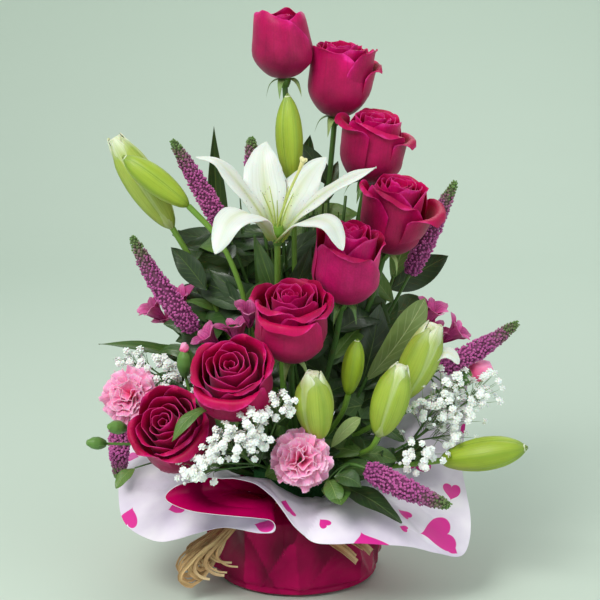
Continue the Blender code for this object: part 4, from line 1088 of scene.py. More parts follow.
def floretPattern():
    # a double floret: small creased petals laid over one another like a pompon
    def place(u, v):
        s = 2 * u - 1
        return np.column_stack([v * (1 - 0.3 * s**2 + 0.12 * np.cos(9 * s)), s * (0.14 + 0.34 * v),
                                0.2 * v**2 - 0.2 * np.abs(s) * v])

    petal = gridSheet("floretPetal", 3, 1, place, ["gypsophila"])
    mark(petal.data, "share", spotsOf(petal.data)[:, 0])
    core = tubeSheet("floretCore", np.array([(0, 0, z) for z in (-0.16, 0.02, 0.24, 0.42)]), (0.14, 0.46, 0.44,
                                                                                              0.1),
                     "gypsophila", 6, 3)
    mark(core.data, "share", np.full(len(core.data.vertices), 0.3))
    places, last = [], gypsParts["petals"] - 1
    for k in range(last + 1):
        polar, angle = 0.12 + 1.45 * (k / last) ** 0.8, k * golden
        out = np.array((math.cos(angle) * math.sin(polar), math.sin(angle) * math.sin(polar),
                        math.cos(polar)))
        down = np.array((math.cos(angle) * math.cos(polar), math.sin(angle) * math.cos(polar),
                         -math.sin(polar)))
        x, y = down * math.cos(0.5) + out * math.sin(0.5), np.array((-math.sin(angle), math.cos(angle), 0))
        size = 0.54 + 0.22 * k / last
        places.append((out * np.array((0.42, 0.42, 0.34)), np.column_stack([x, y, np.cross(x, y)]) * size,
                       0.5))
    return joined("floret", [core, copiesOf("petals", petal, places)])


def makeGypsophila(number):
    style, solid = gypsophila[number], readSolid(f"gypsophila_{number}")
    line, ways = solid["line"], [branch["line"] for branch in solid["branches"]]
    places, twigs, thread = [], [], gypsParts["thread"]
    for knot, root in [((way[3] + way[4]) / 2, way[1]) for way in ways] + [(line[-2], line[-5])]:
        outward = unit(knot - root)
        for k in range(style["florets"]):
            way = unit(outward * 0.5 + np.array([chance.gauss(0, 0.75) for _ in range(3)]) + np.array((0,
                                                                                                       -0.35,
                                                                                                       0.35)))
            way[2] = max(way[2], -0.35)
            spot = knot + way * style["spread"] * chance.uniform(0.35, 1.05)
            size = (chance.uniform(*gypsParts["floret"]) if chance.random() > gypsParts["budShare"]
                    else gypsParts["bud"])
            looking = unit(way + np.array((0, -0.5, 0.5)))
            places.append((spot, standing(looking, turn=chance.uniform(0, tau)) * size, chance.random()))
            start = knot - outward * style["spread"] * chance.uniform(0.2, 0.7)
            reach = spot - start
            turned = standing(unit(reach)) * np.array((thread, thread, np.linalg.norm(reach)))
            twigs.append((start, turned, chance.random()))
    parts = [copiesOf(f"gypsophila{number}", floretPattern(), places),
             copiesOf("sticks", smallBud("twig", 5, 4, (1.0, 0.9, 0.75, 0.8, 0.6)), twigs),
             tubeSheet("gypsStem", line, [0.0011] * (len(line) - 3) + [0.0008] * 3, "greenStem", 6, 24)]
    for way in ways:
        parts.append(tubeSheet("gypsTwig", way[:4], [gypsParts["twig"]] * 4, "greenStem", 6, 10))
    dress(joined(f"gypsophila{number}", parts), f"gypsophila_{number}", 40)


for number in gypsophila:
    makeGypsophila(number)
print("gypsophila made")


# alstroemeria
alstroemeria = dict(sprays=3, longest=0.027, wall=0.0004, wide=(0.0072, 0.0046), lean=(0.5, 0.34))
petalLook("alstroemeria", "0 8a2458, 0.35 b83a80, 0.8 cf5298, 1 e48cbc", "6c1548", 0.5, 22, 0.5, 0.5)
smallPetalOutline = outline((0, 0.3, 0.7, 0.92, 1), (0.25, 0.6, 1, 0.6, 0.05))


def makeAlstroemeria(number):
    solid = readSolid(f"alstroemeria_{number}")
    line, ways = solid["line"], [branch["line"] for branch in solid["branches"]]
    parts = []
    for foot, tip in [(way[2], way[-1]) for way in ways] + [(line[-4], line[-1])]:
        axis = unit(tip - foot)
        length = min(alstroemeria["longest"], np.linalg.norm(tip - foot) * 1.2)
        start = (foot + tip) / 2 - axis * length * 0.5
        turned = standing(axis, turn=chance.uniform(0, 1))
        for k in range(6):
            out = around(turned, tau * k / 6)
            wide, lean = alstroemeria["wide"][k % 2], alstroemeria["lean"][k % 2]
            way = [start, start + axis * length * 0.4 + out * length * 0.12,
                   start + axis * length * 0.8 + out * length * lean * 0.7,
                   start + axis * length * 1.02 + out * length * (lean + 0.22)]
            parts.append(bladeSheet("smallPetal", way, axis - out * 0.6, wide, ["alstroemeria"],
                                    smallPetalOutline, 8, 12, 0.35, 0.1, 2.0, tint=chance.random(), phase=k))
    petals = joined(f"alstroemeria{number}", parts)
    thicken(petals, alstroemeria["wall"])
    parts = [petals, tubeSheet("alstroStem", line[:-2], [*solid["radii"][:len(line) - 3], 0.0014], "greenStem",
                               8, 24)]
    for way in ways:
        parts.append(tubeSheet("alstroTwig", way[:4], (0.0011, 0.001, 0.0012, 0.0016), "greenStem", 6, 10))
    dress(joined(f"alstroemeria{number}", parts), f"alstroemeria_{number}")


for number in range(1, alstroemeria["sprays"] + 1):
    makeAlstroemeria(number)
print("alstroemeria made")


# foliage
leafKinds = {
    "glossy": dict(looks=("darkLeaf", "darkLeafBack"), widest=0.45, sharp=0.85, fold=0.2, wave=0.1),
    "fresh": dict(looks=("freshLeaf", "freshLeafBack"), widest=0.55, sharp=0.75, fold=0.16, wave=0.1),
    "spoon": dict(looks=("spoonLeaf", "freshLeafBack"), widest=0.66, sharp=0.62, fold=0.14, wave=0.05),
    "blade": dict(looks=("bladeLeaf", "bladeLeaf"), widest=0.38, sharp=1.1, fold=0.3, wave=0.05),
}
# each spray's own leaves, from the highest down
foliage = {
    "right": ("spoon", "glossy", "glossy", "fresh"),
    "left": ("blade", "blade", "fresh", "glossy"),
    "back": ("glossy",) * 6,
    "back_left": ("blade", "glossy", "glossy", "glossy", "fresh"),
    "back_right": ("fresh", "glossy", "glossy", "glossy", "fresh"),
    "middle": ("blade", "glossy", "glossy", "glossy", "fresh"),
    "low": ("glossy", "fresh", "glossy"),
    "front": ("fresh", "glossy"),
}
# leaves set one by one: a spray, the node whose box holds the foot and tip, half width, kind, facing and rise
handSet = (
    ("low", "rose_bloom_8", (1.02, 0.3, 0.8), (0.58, 0.02, 0.5), 0.0064, "fresh", (-0.3, -0.6, 1), 0.007),
    ("low", "rose_bloom_8", (0.1, 0.5, 0.05), (-0.1, 0.3, -0.12), 0.006, "fresh", (-0.3, -0.8, 1), 0.003),
    ("low", "lily_bud_5", (0.92, 0.3, 0.43), (1.72, 0.28, 0.64), 0.0058, "spoon", (0.2, -1, 0.5), 0.003),
    ("low", "carnation_bloom_2", (1.0, 0.8, 0.15), (1.42, 0.5, 0.05), 0.0085, "glossy", (0.1, -0.7, 1), 0.004),
    ("front", "carnation_bloom_2", (0.9, 0.9, 0.1), (1.05, 0.2, -0.18), 0.008, "fresh", (0, -0.8, 1), 0.003),
    ("right", "veronica_5", (0.6, 0.6, 0.62), (0.76, 0.3, 0.5), 0.005, "fresh", (0.3, -0.8, 0.8), 0.003),
    ("right", "veronica_5", (0.58, 0.6, 0.56), (0.7, 0.3, 0.36), 0.0048, "glossy", (0.3, -0.8, 0.8), 0.003),
    ("back_right", "alstroemeria_3", (0.75, 0.6, 0.7), (0.62, 0.2, 0.96), 0.006, "fresh", (0.2, -1, 0.5), 0.002),
    ("back_left", "veronica_3", (0.5, 0.9, 0.78), (0.26, 1.3, 0.94), 0.01, "glossy", (-0.2, -1, 0.3), 0.002),
    ("back_left", "veronica_3", (0.52, 0.9, 0.6), (0.2, 1.2, 0.64), 0.008, "glossy", (-0.2, -1, 0.5), 0.003),
    ("back_left", "veronica_3", (0.42, 0.9, 0.5), (0.16, 1.3, 0.52), 0.006, "blade", (-0.2, -1, 0.7), 0.006),
)
# narrow leaves on the buds' stalks, at these shares of each stalk
stalkLeaves = {"lily_bud_2": (0.3, 0.42, 0.55, 0.66), "lily_bud_3": (0.35, 0.5, 0.62), "lily_bud_1": (0.3,
                                                                                                      0.44,
                                                                                                      0.58),
               "lily_bud_7": (0.4, 0.55), "lily_bud_6": (0.45, 0.6)}
# where more leaves fill the space: a spray, two corners, how many, what kinds, and shortest and longest
fills = (
    ("middle", (-0.08, 0.012, 0.15), (0.055, 0.05, 0.3), 60, ("glossy", "glossy", "glossy", "fresh"), (0.04, 0.07)),
    ("back_left", (-0.112, 0.008, 0.165), (-0.025, 0.045, 0.29), 40,
     ("glossy", "glossy", "glossy", "blade", "fresh"), (0.04, 0.08)),
    ("right", (0.045, 0, 0.15), (0.104, 0.055, 0.25), 24, ("glossy", "fresh", "glossy"), (0.036, 0.06)),
    ("low", (-0.125, -0.04, 0.115), (0.086, 0.06, 0.165), 50, ("glossy", "fresh", "glossy"), (0.034, 0.056)),
    ("front", (-0.08, -0.1, 0.104), (0.085, 0.052, 0.13), 56, ("glossy", "glossy", "fresh"), (0.03, 0.05)),
    ("back", (-0.06, 0.05, 0.17), (0.09, 0.09, 0.29), 26, ("glossy", "glossy", "fresh"), (0.036, 0.06)),
)
# dark leaves high up: the stem they grow on, how far along it, their reach, half width and kind
highLeaves = (
    ("rose_stem_2", 0.8, (-0.026, 0.004, 0.036), 0.0085, "glossy"),
    ("rose_stem_2", 0.7, (-0.024, 0.006, 0.028), 0.008, "glossy"),
    ("rose_stem_2", 0.75, (0.01, 0.01, 0.036), 0.006, "glossy"),
    ("rose_stem_3", 0.8, (-0.018, 0.006, 0.02), 0.006, "fresh"),
    ("foliage_back_left", 0.97, (-0.018, 0, 0.034), 0.006, "glossy"),
    ("foliage_back_left", 0.92, (0.018, 0.002, 0.036), 0.006, "glossy"),
    ("foliage_back_left", 0.84, (-0.026, -0.002, 0.022), 0.006, "glossy"),
)
grass = dict(blades=34, foot=0.094, lowest=0.2, highest=0.33, wall=0.0003)


def oneLeaf(line, facing, half, kind):
    style = leafKinds[kind]
    return bladeSheet("leaf", line, facing, half, style["looks"], lambda v: leafOutline(v, style["widest"],
                                                                                        style["sharp"]), 8, 14,
                      style["fold"], style["wave"], 1.7, curl=0.12, tint=chance.random(),
                      phase=chance.uniform(0, tau))


# points along every stem in the foam, for leaves to grow from
stemSpots = []
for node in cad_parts:
    if node.startswith(("rose_stem", "lily_bud", "lily_stem", "veronica", "carnation_stem", "foliage")):
        line = readSolid(node, 6 if node.startswith(("lily_bud", "veronica")) else 5)["line"]
        stemSpots.append(curveAt(line[:8], np.linspace(0.12, 0.92, 24)))
stemSpots = np.vstack(stemSpots)


def boxOf(node):
    return (np.array(corner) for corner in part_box(node))


def inBox(node, shares):
    low, high = boxOf(node)
    return low + (high - low) * np.array(shares)


heads = []  # the big blooms, which the leaves stay out of
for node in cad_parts:
    if node.startswith(("rose_bloom", "lily_flower", "carnation_bloom")):
        low, high = boxOf(node)
        heads.append(((low + high) / 2, (high - low).min() / 2))


def clearOfHeads(points):
    return all(np.linalg.norm(points - middle, axis=1).min() > size * 0.95 for middle, size in heads)


def fillLeaves(low, high, count, kinds, span):
    made = []
    for _ in range(count * 3):
        if len(made) == count:
            break
        goal = np.array([chance.uniform(a, b) for a, b in zip(low, high)])
        away = goal - stemSpots
        far = np.linalg.norm(away, axis=1)
        fit = np.nonzero((far > span[0]) & (far < span[1]) & (away[:, 2] > -0.3 * far))[0]
        if not len(fit):
            continue
        foot = stemSpots[chance.choice(fit.tolist())]
        way = goal - foot
        long = np.linalg.norm(way)
        middle = foot + way * 0.5 + np.array((0, 0, 0.1 * long)) + unit(goal * (1, 1, 0)) * 0.05 * long
        line = np.array([foot, foot + (middle - foot) * 0.35, middle, goal])
        if not clearOfHeads(line):
            continue
        facing = unit(np.array((0.3 * np.sign(goal[0]) * chance.random(), -1.0 if goal[1] < 0.055 else 0.6,
                                0.7)) + np.array([chance.uniform(-0.5, 0.5) for _ in range(3)]))
        made.append(oneLeaf(line, facing, long * chance.uniform(0.17, 0.25), chance.choice(kinds)))
    return made


def makeFoliage(node, kinds):
    # a spray's own leaves and its stalk
    solid = readSolid(node)
    leaves = []
    for kind, branch in zip(kinds, sorted(solid["branches"], key=lambda b: -b["line"][-1][2])):
        guide = np.array((0, -1, 0.8)) if branch["line"][-1][1] < 0.06 else np.array((0, 0.4, 1))
        leaves.append(oneLeaf(branch["line"], facedTo(branch["facing"], guide), branch["half"].max(), kind))
    return leaves, [tubeSheet("leafStalk", solid["line"], [*solid["radii"][:-1], 0.0008], "greenStem", 8, 24)]


def setLeaf(foot, tip, half, kind, facing=(0, -1, 0.6), sag=0.005):
    rise = np.array((0, -0.4, 1)) * sag
    return oneLeaf(np.array([foot, foot * 0.65 + tip * 0.35 + rise, foot * 0.3 + tip * 0.7 + rise, tip]),
                   np.array(facing, float), half, kind)


def leafFoot(foot):
    # a thin stalk from the nearest stem to a leaf's foot
    near = stemSpots[np.argmin(np.linalg.norm(stemSpots - foot, axis=1))]
    line = np.array([near, (near + foot) / 2 + (0, 0, 0.002), foot])
    return tubeSheet("leafFoot", line, (0.001, 0.0008, 0.0006), "greenStem", 6, 10)


def makeGrass(k):
    # an upright grassy blade in the middle, or every third time a bare stalk
    foot = np.array((chance.uniform(-0.03, 0.03), chance.uniform(0.0, 0.03), grass["foot"]))
    high = chance.uniform(grass["lowest"], grass["highest"])
    tip = np.array((foot[0] * 1.7 + chance.uniform(-0.018, 0.018), foot[1] + chance.uniform(0.0, 0.022),
                    high))
    line = [foot, foot * 0.6 + tip * 0.4 + (0, 0.006, 0), foot * 0.25 + tip * 0.75 + (0, 0.004, 0), tip]
    if k % 3:
        return "middle", bladeSheet("grass", line, np.array((chance.uniform(-0.6, 0.6), -1, 0.2)),
                                    chance.uniform(0.0018, 0.0042), ["bladeLeaf", "bladeLeaf"],
                                    lambda v: np.clip(1.15 - v**3, 0.06, 1), 4, 16, 0.4, 0.3, 1.5,
                                    tint=chance.random() * 0.7, phase=k)
    return "back", tubeSheet("stalk", line, (0.0017, 0.0016, 0.0014, 0.0013), "greenStem", 6, 14)


sprays = {spray: makeFoliage("foliage_" + spray, kinds) for spray, kinds in foliage.items()}
for spray, node, foot, tip, half, kind, facing, sag in handSet:
    sprays[spray][0].append(setLeaf(inBox(node, foot), inBox(node, tip), half, kind, facing, sag))
    sprays[spray][1].append(leafFoot(inBox(node, foot)))
for node, shares in stalkLeaves.items():
    line = readSolid(node, 6)["line"][:8]
    for k, share in enumerate(shares):
        foot, after = curveAt(line, [share, share + 0.05])
        away = unit(np.cross(after - foot, (0, 1, 0))) * (1 if k % 2 else -1)
        tip = foot + unit(away + unit(after - foot) * 0.9 + np.array((0, -0.3, 0))) * chance.uniform(0.024,
                                                                                                     0.036)
        sprays["back_left" if node != "lily_bud_7" else "right"][0].append(
            setLeaf(foot, tip, chance.uniform(0.003, 0.0045), "blade", (0, -1, 0.5), 0.003))
for spray, low, high, count, kinds, span in fills:
    sprays[spray][0].extend(fillLeaves(low, high, count, kinds, span))
for spray, blade in map(makeGrass, range(grass["blades"])):
    sprays[spray][0].append(blade)
drawn = chance.getstate()  # the leaves high up leave the later draws as they are
for node, share, reach, half, kind in highLeaves:
    foot = curveAt(readSolid(node)["line"], [share])[0]
    sprays["back"][0].append(setLeaf(foot, foot + reach, half, kind, (0, -1, 0.4), 0.003))
chance.setstate(drawn)
for spray, (leaves, stalks) in sprays.items():
    name = "foliage" + "".join(part.capitalize() for part in spray.split("_"))
    whole = joined(name, leaves)
    thicken(whole, grass["wall"])
    dress(joined(name, [whole, *stalks]), "foliage_" + spray, 70)
print("foliage made")


# the wrap
wrap = dict(rings=13, steps=7, thickness=0.0005, facets=10, creases=15, wrinkles=56, rim=46, tie=48, collar=52)
# the hearts printed on the front of the sheet: along the edge, out from the middle, turn and half width
printed = ((0.2154, 0.2613, 40, 0.0085), (0.2403, 0.2288, 150, 0.0075), (0.315, 0.2221, 70, 0.0075),
           (0.4518, 0.2117, 20, 0.0068), (0.4806, 0.2193, 30, 0.0046), (0.504, 0.2516, 0, 0.0175),
           (0.5361, 0.2423, 45, 0.0034), (0.5622, 0.255, 66, 0.0158), (0.6061, 0.2456, 100, 0.008),
           (0.553, 0.2258, 10, 0.0062), (0.57, 0.2749, 200, 0.0046), (0.6512, 0.2603, 0, 0.0034),
           (0.6381, 0.2139, -102, 0.0135), (0.388, 0.22, 120, 0.007))


def filmLook(name, hearts):
    # creased film: shade is painted into its colour along its folds and facets, and hearts are printed on its inside
    tree, shader = newLook(name, 0.4 if hearts else 0.26, Specular_IOR_Level=0.45 if hearts else 0.12)
    mottle, fine = mottleIn(tree, 26.0), mottleIn(tree, 140.0)
    stops, dark, deep = (("0.3 e0d4ec, 0.55 f1e9f9, 0.8 fdf9ff", "a8a2b4", 0.42) if hearts else
                         ("0.25 8a0040, 0.5 b00052, 0.8 ca065e", "3c0018", 0.72))
    body = rampIn(tree, mottle["Blotch"], stops)
    # painted shade: the fold mark darkens the colour beside the folds, on some facets and on the collar's wrinkles
    body = mixIn(tree, timesIn(tree, attributeIn(tree, "fold"), deep), body, dark)
    if hearts:
        uv = nodeIn(tree, "ShaderNodeUVMap", uv_map="UVMap").outputs[0]
        across = nodeIn(tree, "ShaderNodeSeparateXYZ", (uv, 0)).outputs[0]
        front = mathIn(tree, "LESS_THAN", mathIn(tree, "ABSOLUTE", minusIn(tree, across, 0.45)), 0.27)
        for cell, size, share, seed, tone in ((0.074, 0.235, 0.75, 3.0, "e02c9a"), (0.047, 0.125, 0.5, 8.0,
                                                                                    "e85ab4")):
            mask = groupIn(tree, "heartPrint", Vector=uv, Cell=cell, Size=size, Share=share,
                           Seed=seed)["Mask"]
            body = mixIn(tree, timesIn(tree, mask, minusIn(tree, 1.0, front)), body, tone)
        for x, y, degrees, size in printed:
            turned = turnIn(tree, vectorIn(tree, "SUBTRACT", uv, (x, y, 0)), math.radians(degrees))
            body = mixIn(tree, groupIn(tree, "heartShape", Vector=turned, Size=size)["Mask"], body, "e22c9a")
    paint(tree, shader, body)
    crumple = nodeIn(tree, "ShaderNodeTexVoronoi", (objectPoint(tree), "Vector"), (42.0, "Scale"),
                     feature="SMOOTH_F1")
    crumple.inputs["Smoothness"].default_value = 0.12
    height = plusIn(tree, mottle["Blotch"], timesIn(tree, fine["Blotch"], 0.25))
    height = plusIn(tree, height, timesIn(tree, crumple.outputs["Distance"], 0.35 if hearts else 1.1))
    bumpIn(tree, shader, height, 0.55, 0.0016)


def inOrder(ring, links, places):
    # a ring's corners in turn, from the back and towards the left
    first = max(ring, key=lambda v: places[v][1] - abs(places[v][0]))
    order = [first]
    while len(order) < len(ring):
        order.append(next(v for v in links[order[-1]] & ring if v not in order))
    spots = places[order]
    turn = np.sum(spots[:, 0] * np.roll(spots[:, 1], -1) - np.roll(spots[:, 0], -1) * spots[:, 1])
    return order if turn > 0 else [order[0], *order[:0:-1]]


def readWrap():
    # rings of the sheet's outer face, from the middle of the bottom to the free edge
    places, links, _ = cornersOf("wrap_sheet")
    middle = int(np.argmin(np.linalg.norm(places, axis=1)))
    rings, seen, ring = [], {middle}, set(links[middle])
    while len(rings) < wrap["rings"]:
        order = inOrder(ring, links, places)
        if rings:
            last, count = rings[-1], len(order)
            fits = [s for s in range(count) if all(order[(k + s) % count] in links[last[k]]
                                                   for k in range(count))]
            best = min(fits or range(count),
                       key=lambda s: np.linalg.norm(places[np.roll(order, -s)] - places[last], axis=1).sum())
            order = np.roll(order, -best).tolist()
        rings.append(order)
        seen |= ring
        ring = nextRing(ring, links, seen)
    return np.array([places[order] for order in rings])


def creased(across, along, creases):
    # how far straight soft folds push the sheet out or in, and the painted shade that lies beside each
    push, shade = np.zeros_like(across), np.zeros_like(across)
    for x, y, angle, long, wide, deep in creases:
        run = (across - x) * math.cos(angle) + (along - y) * math.sin(angle)
        off = -(across - x) * math.sin(angle) + (along - y) * math.cos(angle)
        narrow = wide * np.clip(1.2 - np.abs(run) / long, 0.2, 1)
        ends = np.clip(1.3 - np.abs(run) / long, 0, 1)
        push += deep * np.clip(1 - np.abs(off) / narrow, 0, 1) * ends
        beside = np.where(off > 0, np.clip(1 - off / (2.2 * narrow), 0, 1), 0)
        shade += beside * ends * min(1, abs(deep) / 0.0035)
    return push, np.clip(shade, 0, 1)


def facets(radius, high, theta, reach):
    # how far out flat planes round the bowl stand from it, and each one's painted shade, a darker tone that stands in
    # for the facet's shading
    facet, tone = np.full(radius.shape, 0.2), np.zeros(radius.shape)
    for k in range(wrap["facets"]):
        facing = tau * (k + chance.uniform(-0.3, 0.3)) / wrap["facets"]
        lean = math.radians(chance.uniform(-8, 8))
        plane = reach * math.cos(lean) + max(0.008 * math.sin(lean), 0.05 * math.sin(lean))
        off = np.cos(theta - facing)
        far = (plane - high * math.sin(lean)) / (math.cos(lean) * np.maximum(off, 0.3))
        nearer = (off > 0.5) & (far < facet)
        facet, tone = np.where(nearer, far, facet), np.where(nearer, chance.uniform(0, 0.75), tone)
    bulge = np.clip(facet - np.maximum(radius, reach - 0.004), 0, 0.01) * np.clip(high / 0.012, 0.1, 1)
    return bulge, tone


def crumpled(fine, across, along, normal):
    # the sheet pushed into facets and folds round the bowl, pleats at the tie and wrinkles on the collar
    size, level = across[0, -1], np.arange(len(fine))[:, None]
    side = np.clip((fine[:, :, 2] - 0.002) / 0.008, 0, 1) * np.clip((wrap["rim"] - level) / 6, 0, 1)
    collar, neck = np.clip((level - wrap["collar"]) / 10, 0, 1), np.exp(-(((level - wrap["tie"]) / 6.0) ** 2))
    theta = np.arctan2(fine[:, :, 1], fine[:, :, 0])
    pleats = np.sin(31 * theta + 2 * np.sin(5 * theta)) + 0.6 * np.sin(47 * theta + 3 * np.sin(3 * theta))
    radius, high = np.hypot(fine[:, :, 0], fine[:, :, 1]), fine[:, :, 2]
    reach = radius[:wrap["rim"]].max()
    bulge, tone = facets(radius, high, theta, reach)
    folds, count = [], wrap["creases"]
    for k in range(count):
        lean = (-1) ** k * chance.uniform(0.15, 0.75)
        folds.append((tau * (k + chance.uniform(-0.35, 0.35)) / count * reach, 0.058, math.pi / 2 + lean,
                      chance.uniform(0.045, 0.07), chance.uniform(0.008, 0.015), chance.uniform(0.0025,
                                                                                                0.005)))
    wrinkles = [(chance.uniform(0.05, size - 0.05), chance.uniform(0.15, 0.25), math.radians(chance.uniform(0, 180)),
                 chance.uniform(0.02, 0.055), chance.uniform(0.008, 0.018),
                 chance.choice((-1, 1)) * chance.uniform(0.0009, 0.003)) for _ in range(wrap["wrinkles"])]
    folded, dark = creased((theta % tau) * reach, high, folds)
    wrinkled, grey = creased(across, along, wrinkles)
    push = (bulge + folded) * side + wrinkled * collar
    push += 0.001 * (pleats + 0.8) * neck
    # painted shade for the film's colour: the facets' tones and the shade beside the skirt's folds, and the shade
    # beside the collar's wrinkles
    fold = np.clip(tone + dark, 0, 1) * np.clip((50 - level) / 6, 0, 1) + grey * collar
    edge = 1 - np.clip(np.minimum(across, size - across) / 0.02, 0, 1)
    fine = fine + normal * (push * (1 - edge))[..., None]
    fine[:, :, 2] = np.maximum(fine[:, :, 2], 0.0006)
    fine[:, -1] = fine[:, 0]
    return fine, fold


def makeWrap():
    rings = readWrap()
    rings = refined(np.vstack([np.zeros((1, *rings.shape[1:])), rings]), wrap["steps"])
    fine = np.swapaxes(refined(np.swapaxes(rings, 0, 1), wrap["steps"], True), 0, 1)
    rows, columns = fine.shape[0] - 1, fine.shape[1] - 1
    along = np.vstack([np.zeros(columns + 1), np.cumsum(np.linalg.norm(np.diff(fine, axis=0), axis=2),
                                                        axis=0)])
    across = np.tile(runOf(fine[-17]), (rows + 1, 1))
    down, sideways = np.gradient(fine, axis=0), np.gradient(fine, axis=1)
    sideways[:, 0] = sideways[:, -1] = fine[:, 1] - fine[:, -2]
    fine, fold = crumpled(fine, across, along, unit(np.cross(sideways, down)))

    def place(u, v):
        return fine[np.rint(v * rows).astype(int), np.rint(u * columns).astype(int)]

    piece = gridSheet("wrapSheet", columns, rows, place, ["filmInner", "filmOuter"])
    uv = piece.data.uv_layers[0].uv
    at = np.zeros(len(uv) * 2)
    uv.foreach_get("vector", at)
    column, row = np.rint(at.reshape(-1, 2) * (columns, rows)).astype(int).T
    uv.foreach_set("vector", np.column_stack([across[row, column], along[row, column]]).ravel())
    corner = np.zeros(len(row), dtype=np.int32)
    piece.data.loops.foreach_get("vertex_index", corner)
    # the painted shade of the folds and facets, kept at each point for the film's colour to read
    values = np.zeros(len(piece.data.vertices), dtype=np.float32)
    values[corner] = fold[row, column]
    mark(piece.data, "fold", values)
    mergeClose(piece, 1e-5)
    thicken(piece, wrap["thickness"], backLook=1)
    dress(piece, "wrap_sheet", 16)


filmLook("filmOuter", False)
filmLook("filmInner", True)
makeWrap()
print("wrap made")


# raffia
raffia = dict(band=13, loops=16, tails=14, turns=6, wall=0.00025, endWall=0.0003)
petalLook("raffia", "0 bf9c68, 0.4 dcc08e, 0.75 cda878, 1 e6d0a4", "94703e", 0.55, 18, 0.6, 0.3, 0.0, 0.15,
          0.8)


def strand(line, facing, half, tint, wave=0.25):
    return bladeSheet("strand", line, facing, half, ["raffia"], lambda v: 1 - 0.25 * np.abs(2 * v - 1) ** 3,
                      4, 34, 0.35, wave, 2.3, tint=tint, phase=chance.uniform(0, tau))


def bandStrand(k, low, high):
    outer, phase = high[0] - 0.0006 - 0.002 * chance.random(), chance.uniform(0, tau)
    level = low[2] + (high[2] - low[2]) * (0.12 + 0.76 * (k + 0.5) / raffia["band"])
    wide = chance.uniform(0.001, 0.002)

    def place(u, v):
        angle = tau * v
        r = outer + 0.0004 * np.sin(5 * angle + phase) - 0.0003 * np.abs(2 * u - 1)
        z = (level + 0.0009 * np.sin(2 * angle + phase) + 0.0004 * np.sin(7 * angle + 2 * phase) + (u - 0.5)
             * wide)
        return np.column_stack([r * np.sin(angle), -r * np.cos(angle), z])

    piece = gridSheet("bandStrand", 3, 120, place, ["raffia"], chance.random())
    mergeClose(piece)
    return piece


def tiedRaffia(name, node, parts, wall):
    whole = joined(name, parts)
    thicken(whole, wall)
    dress(whole, node)


def makeLoops():
    # loops and hanging tails that follow the solid's own loop, and turns of strand for the knot
    shape = shapeOf("raffia_loops")
    line = readSolid("raffia_loops", 6, shape[np.argmax(shape[:, 2])])["line"]
    start, out = line[0], unit(line[0] * (1, 1, 0))
    plane = unit(np.cross(line[len(line) // 3] - start, line[2 * len(line) // 3] - start))
    parts = []
    for k in range(raffia["loops"]):
        size = 0.66 + 0.34 * (k + 0.5) / raffia["loops"]
        drift = plane * chance.uniform(-0.009, 0.009)
        share = np.linspace(0, 1, len(line))[:, None]
        path = start + (line - start) * size + drift * np.sin(math.pi * share) + out * 0.0006 * (k % 3)
        path += (np.array([[chance.uniform(-0.0012, 0.0012) for _ in range(3)] for _ in line])
                 * np.sin(math.pi * share))
        parts.append(strand(path, plane + out * 0.5, chance.uniform(0.0008, 0.0019), chance.random()))
    lowest = int(np.argmin(line[:, 2]))
    for k in range(raffia["tails"]):
        path = start + (line[:lowest + 1] - start) * chance.uniform(0.75, 0.99)
        spread = np.linspace(0, 1, lowest + 1)[:, None]
        path = (path + plane * chance.uniform(-0.008, 0.008) * spread
                + unit((1, 0, 0.2)) * chance.uniform(0, 0.03) * spread)
        parts.append(strand(path, plane + out * 0.6, chance.uniform(0.0007, 0.0017), chance.random()))
    beside = np.cross(out, (0, 0, 1))
    for k in range(raffia["turns"]):
        angle = k * 1.05
        ring = [start + out * (0.003 + 0.0035 * math.cos(a + angle)) + np.array((0, 0,
                                                                                 0.0045
                                                                                 * math.sin(a + angle)))
                + beside * (0.0012 * (k - 2.5)) for a in np.linspace(0, 5.6, 9)]
        parts.append(strand(ring, beside, 0.0011, chance.random(), 0.1))
    tiedRaffia("raffiaLoops", "raffia_loops", parts, raffia["wall"])


def makeEnds():
    # four loose ends; each starts further round the tie and lies towards its goal
    ends = shapeOf("raffia_ends")
    start = ends[np.argsort(-ends[:, 2])[:4]].mean(0)
    right, lowest = ends[np.argsort(-ends[:, 0])[:4]].mean(0), ends[np.argsort(ends[:, 2])[:4]].mean(0)
    goals = ((right + (0.004, -0.004, -0.005), 0.0036, 10), (right * 0.8 + lowest * 0.2, 0.002, 16),
             (lowest + (0.004, -0.003, 0.0), 0.003, 24), (lowest * 0.7 + right * 0.3, 0.0018, 20))
    parts = []
    for k, (goal, wide, degrees) in enumerate(goals):
        back = math.radians(-degrees)
        swing = np.array(((math.cos(back), -math.sin(back), 0), (math.sin(back), math.cos(back), 0),
                          (0, 0, 1)))
        root = swing @ start
        knee = root * (1.4, 1.4, 1) + (0.002, 0, -0.019)
        path = [root, root * 0.5 + knee * 0.5 + unit(root * (1, 1, 0)) * 0.004, knee,
                knee * 0.4 + goal * 0.6 + (0, 0, 0.001), goal]
        parts.append(bladeSheet("tail", path, unit(start * (1, 1, 0)) + (0, 0, 0.6), wide, ["raffia"],
                                lambda v: np.clip(0.6 + v, 0, 1), 6, 24, 0.4, 0.1, 1.5, tint=0.3 + 0.2 * k,
                                phase=k))
    tiedRaffia("raffiaEnds", "raffia_ends", parts, raffia["endWall"])


low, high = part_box("raffia_tie")
tiedRaffia("raffiaTie", "raffia_tie", [bandStrand(k, low, high) for k in range(raffia["band"])],
           raffia["wall"])
makeLoops()
makeEnds()
print("raffia made")


# the bowl and the foam
def plasticLook(name):
    tree, shader = newLook(name, 0.38, Specular_IOR_Level=0.5)
    mottle = mottleIn(tree, 40.0)
    paint(tree, shader, rampIn(tree, mottle["Blotch"], "0.3 16301f, 0.7 1f3d29"))
    bumpIn(tree, shader, mottle["Grain"], 0.25, 0.0003)


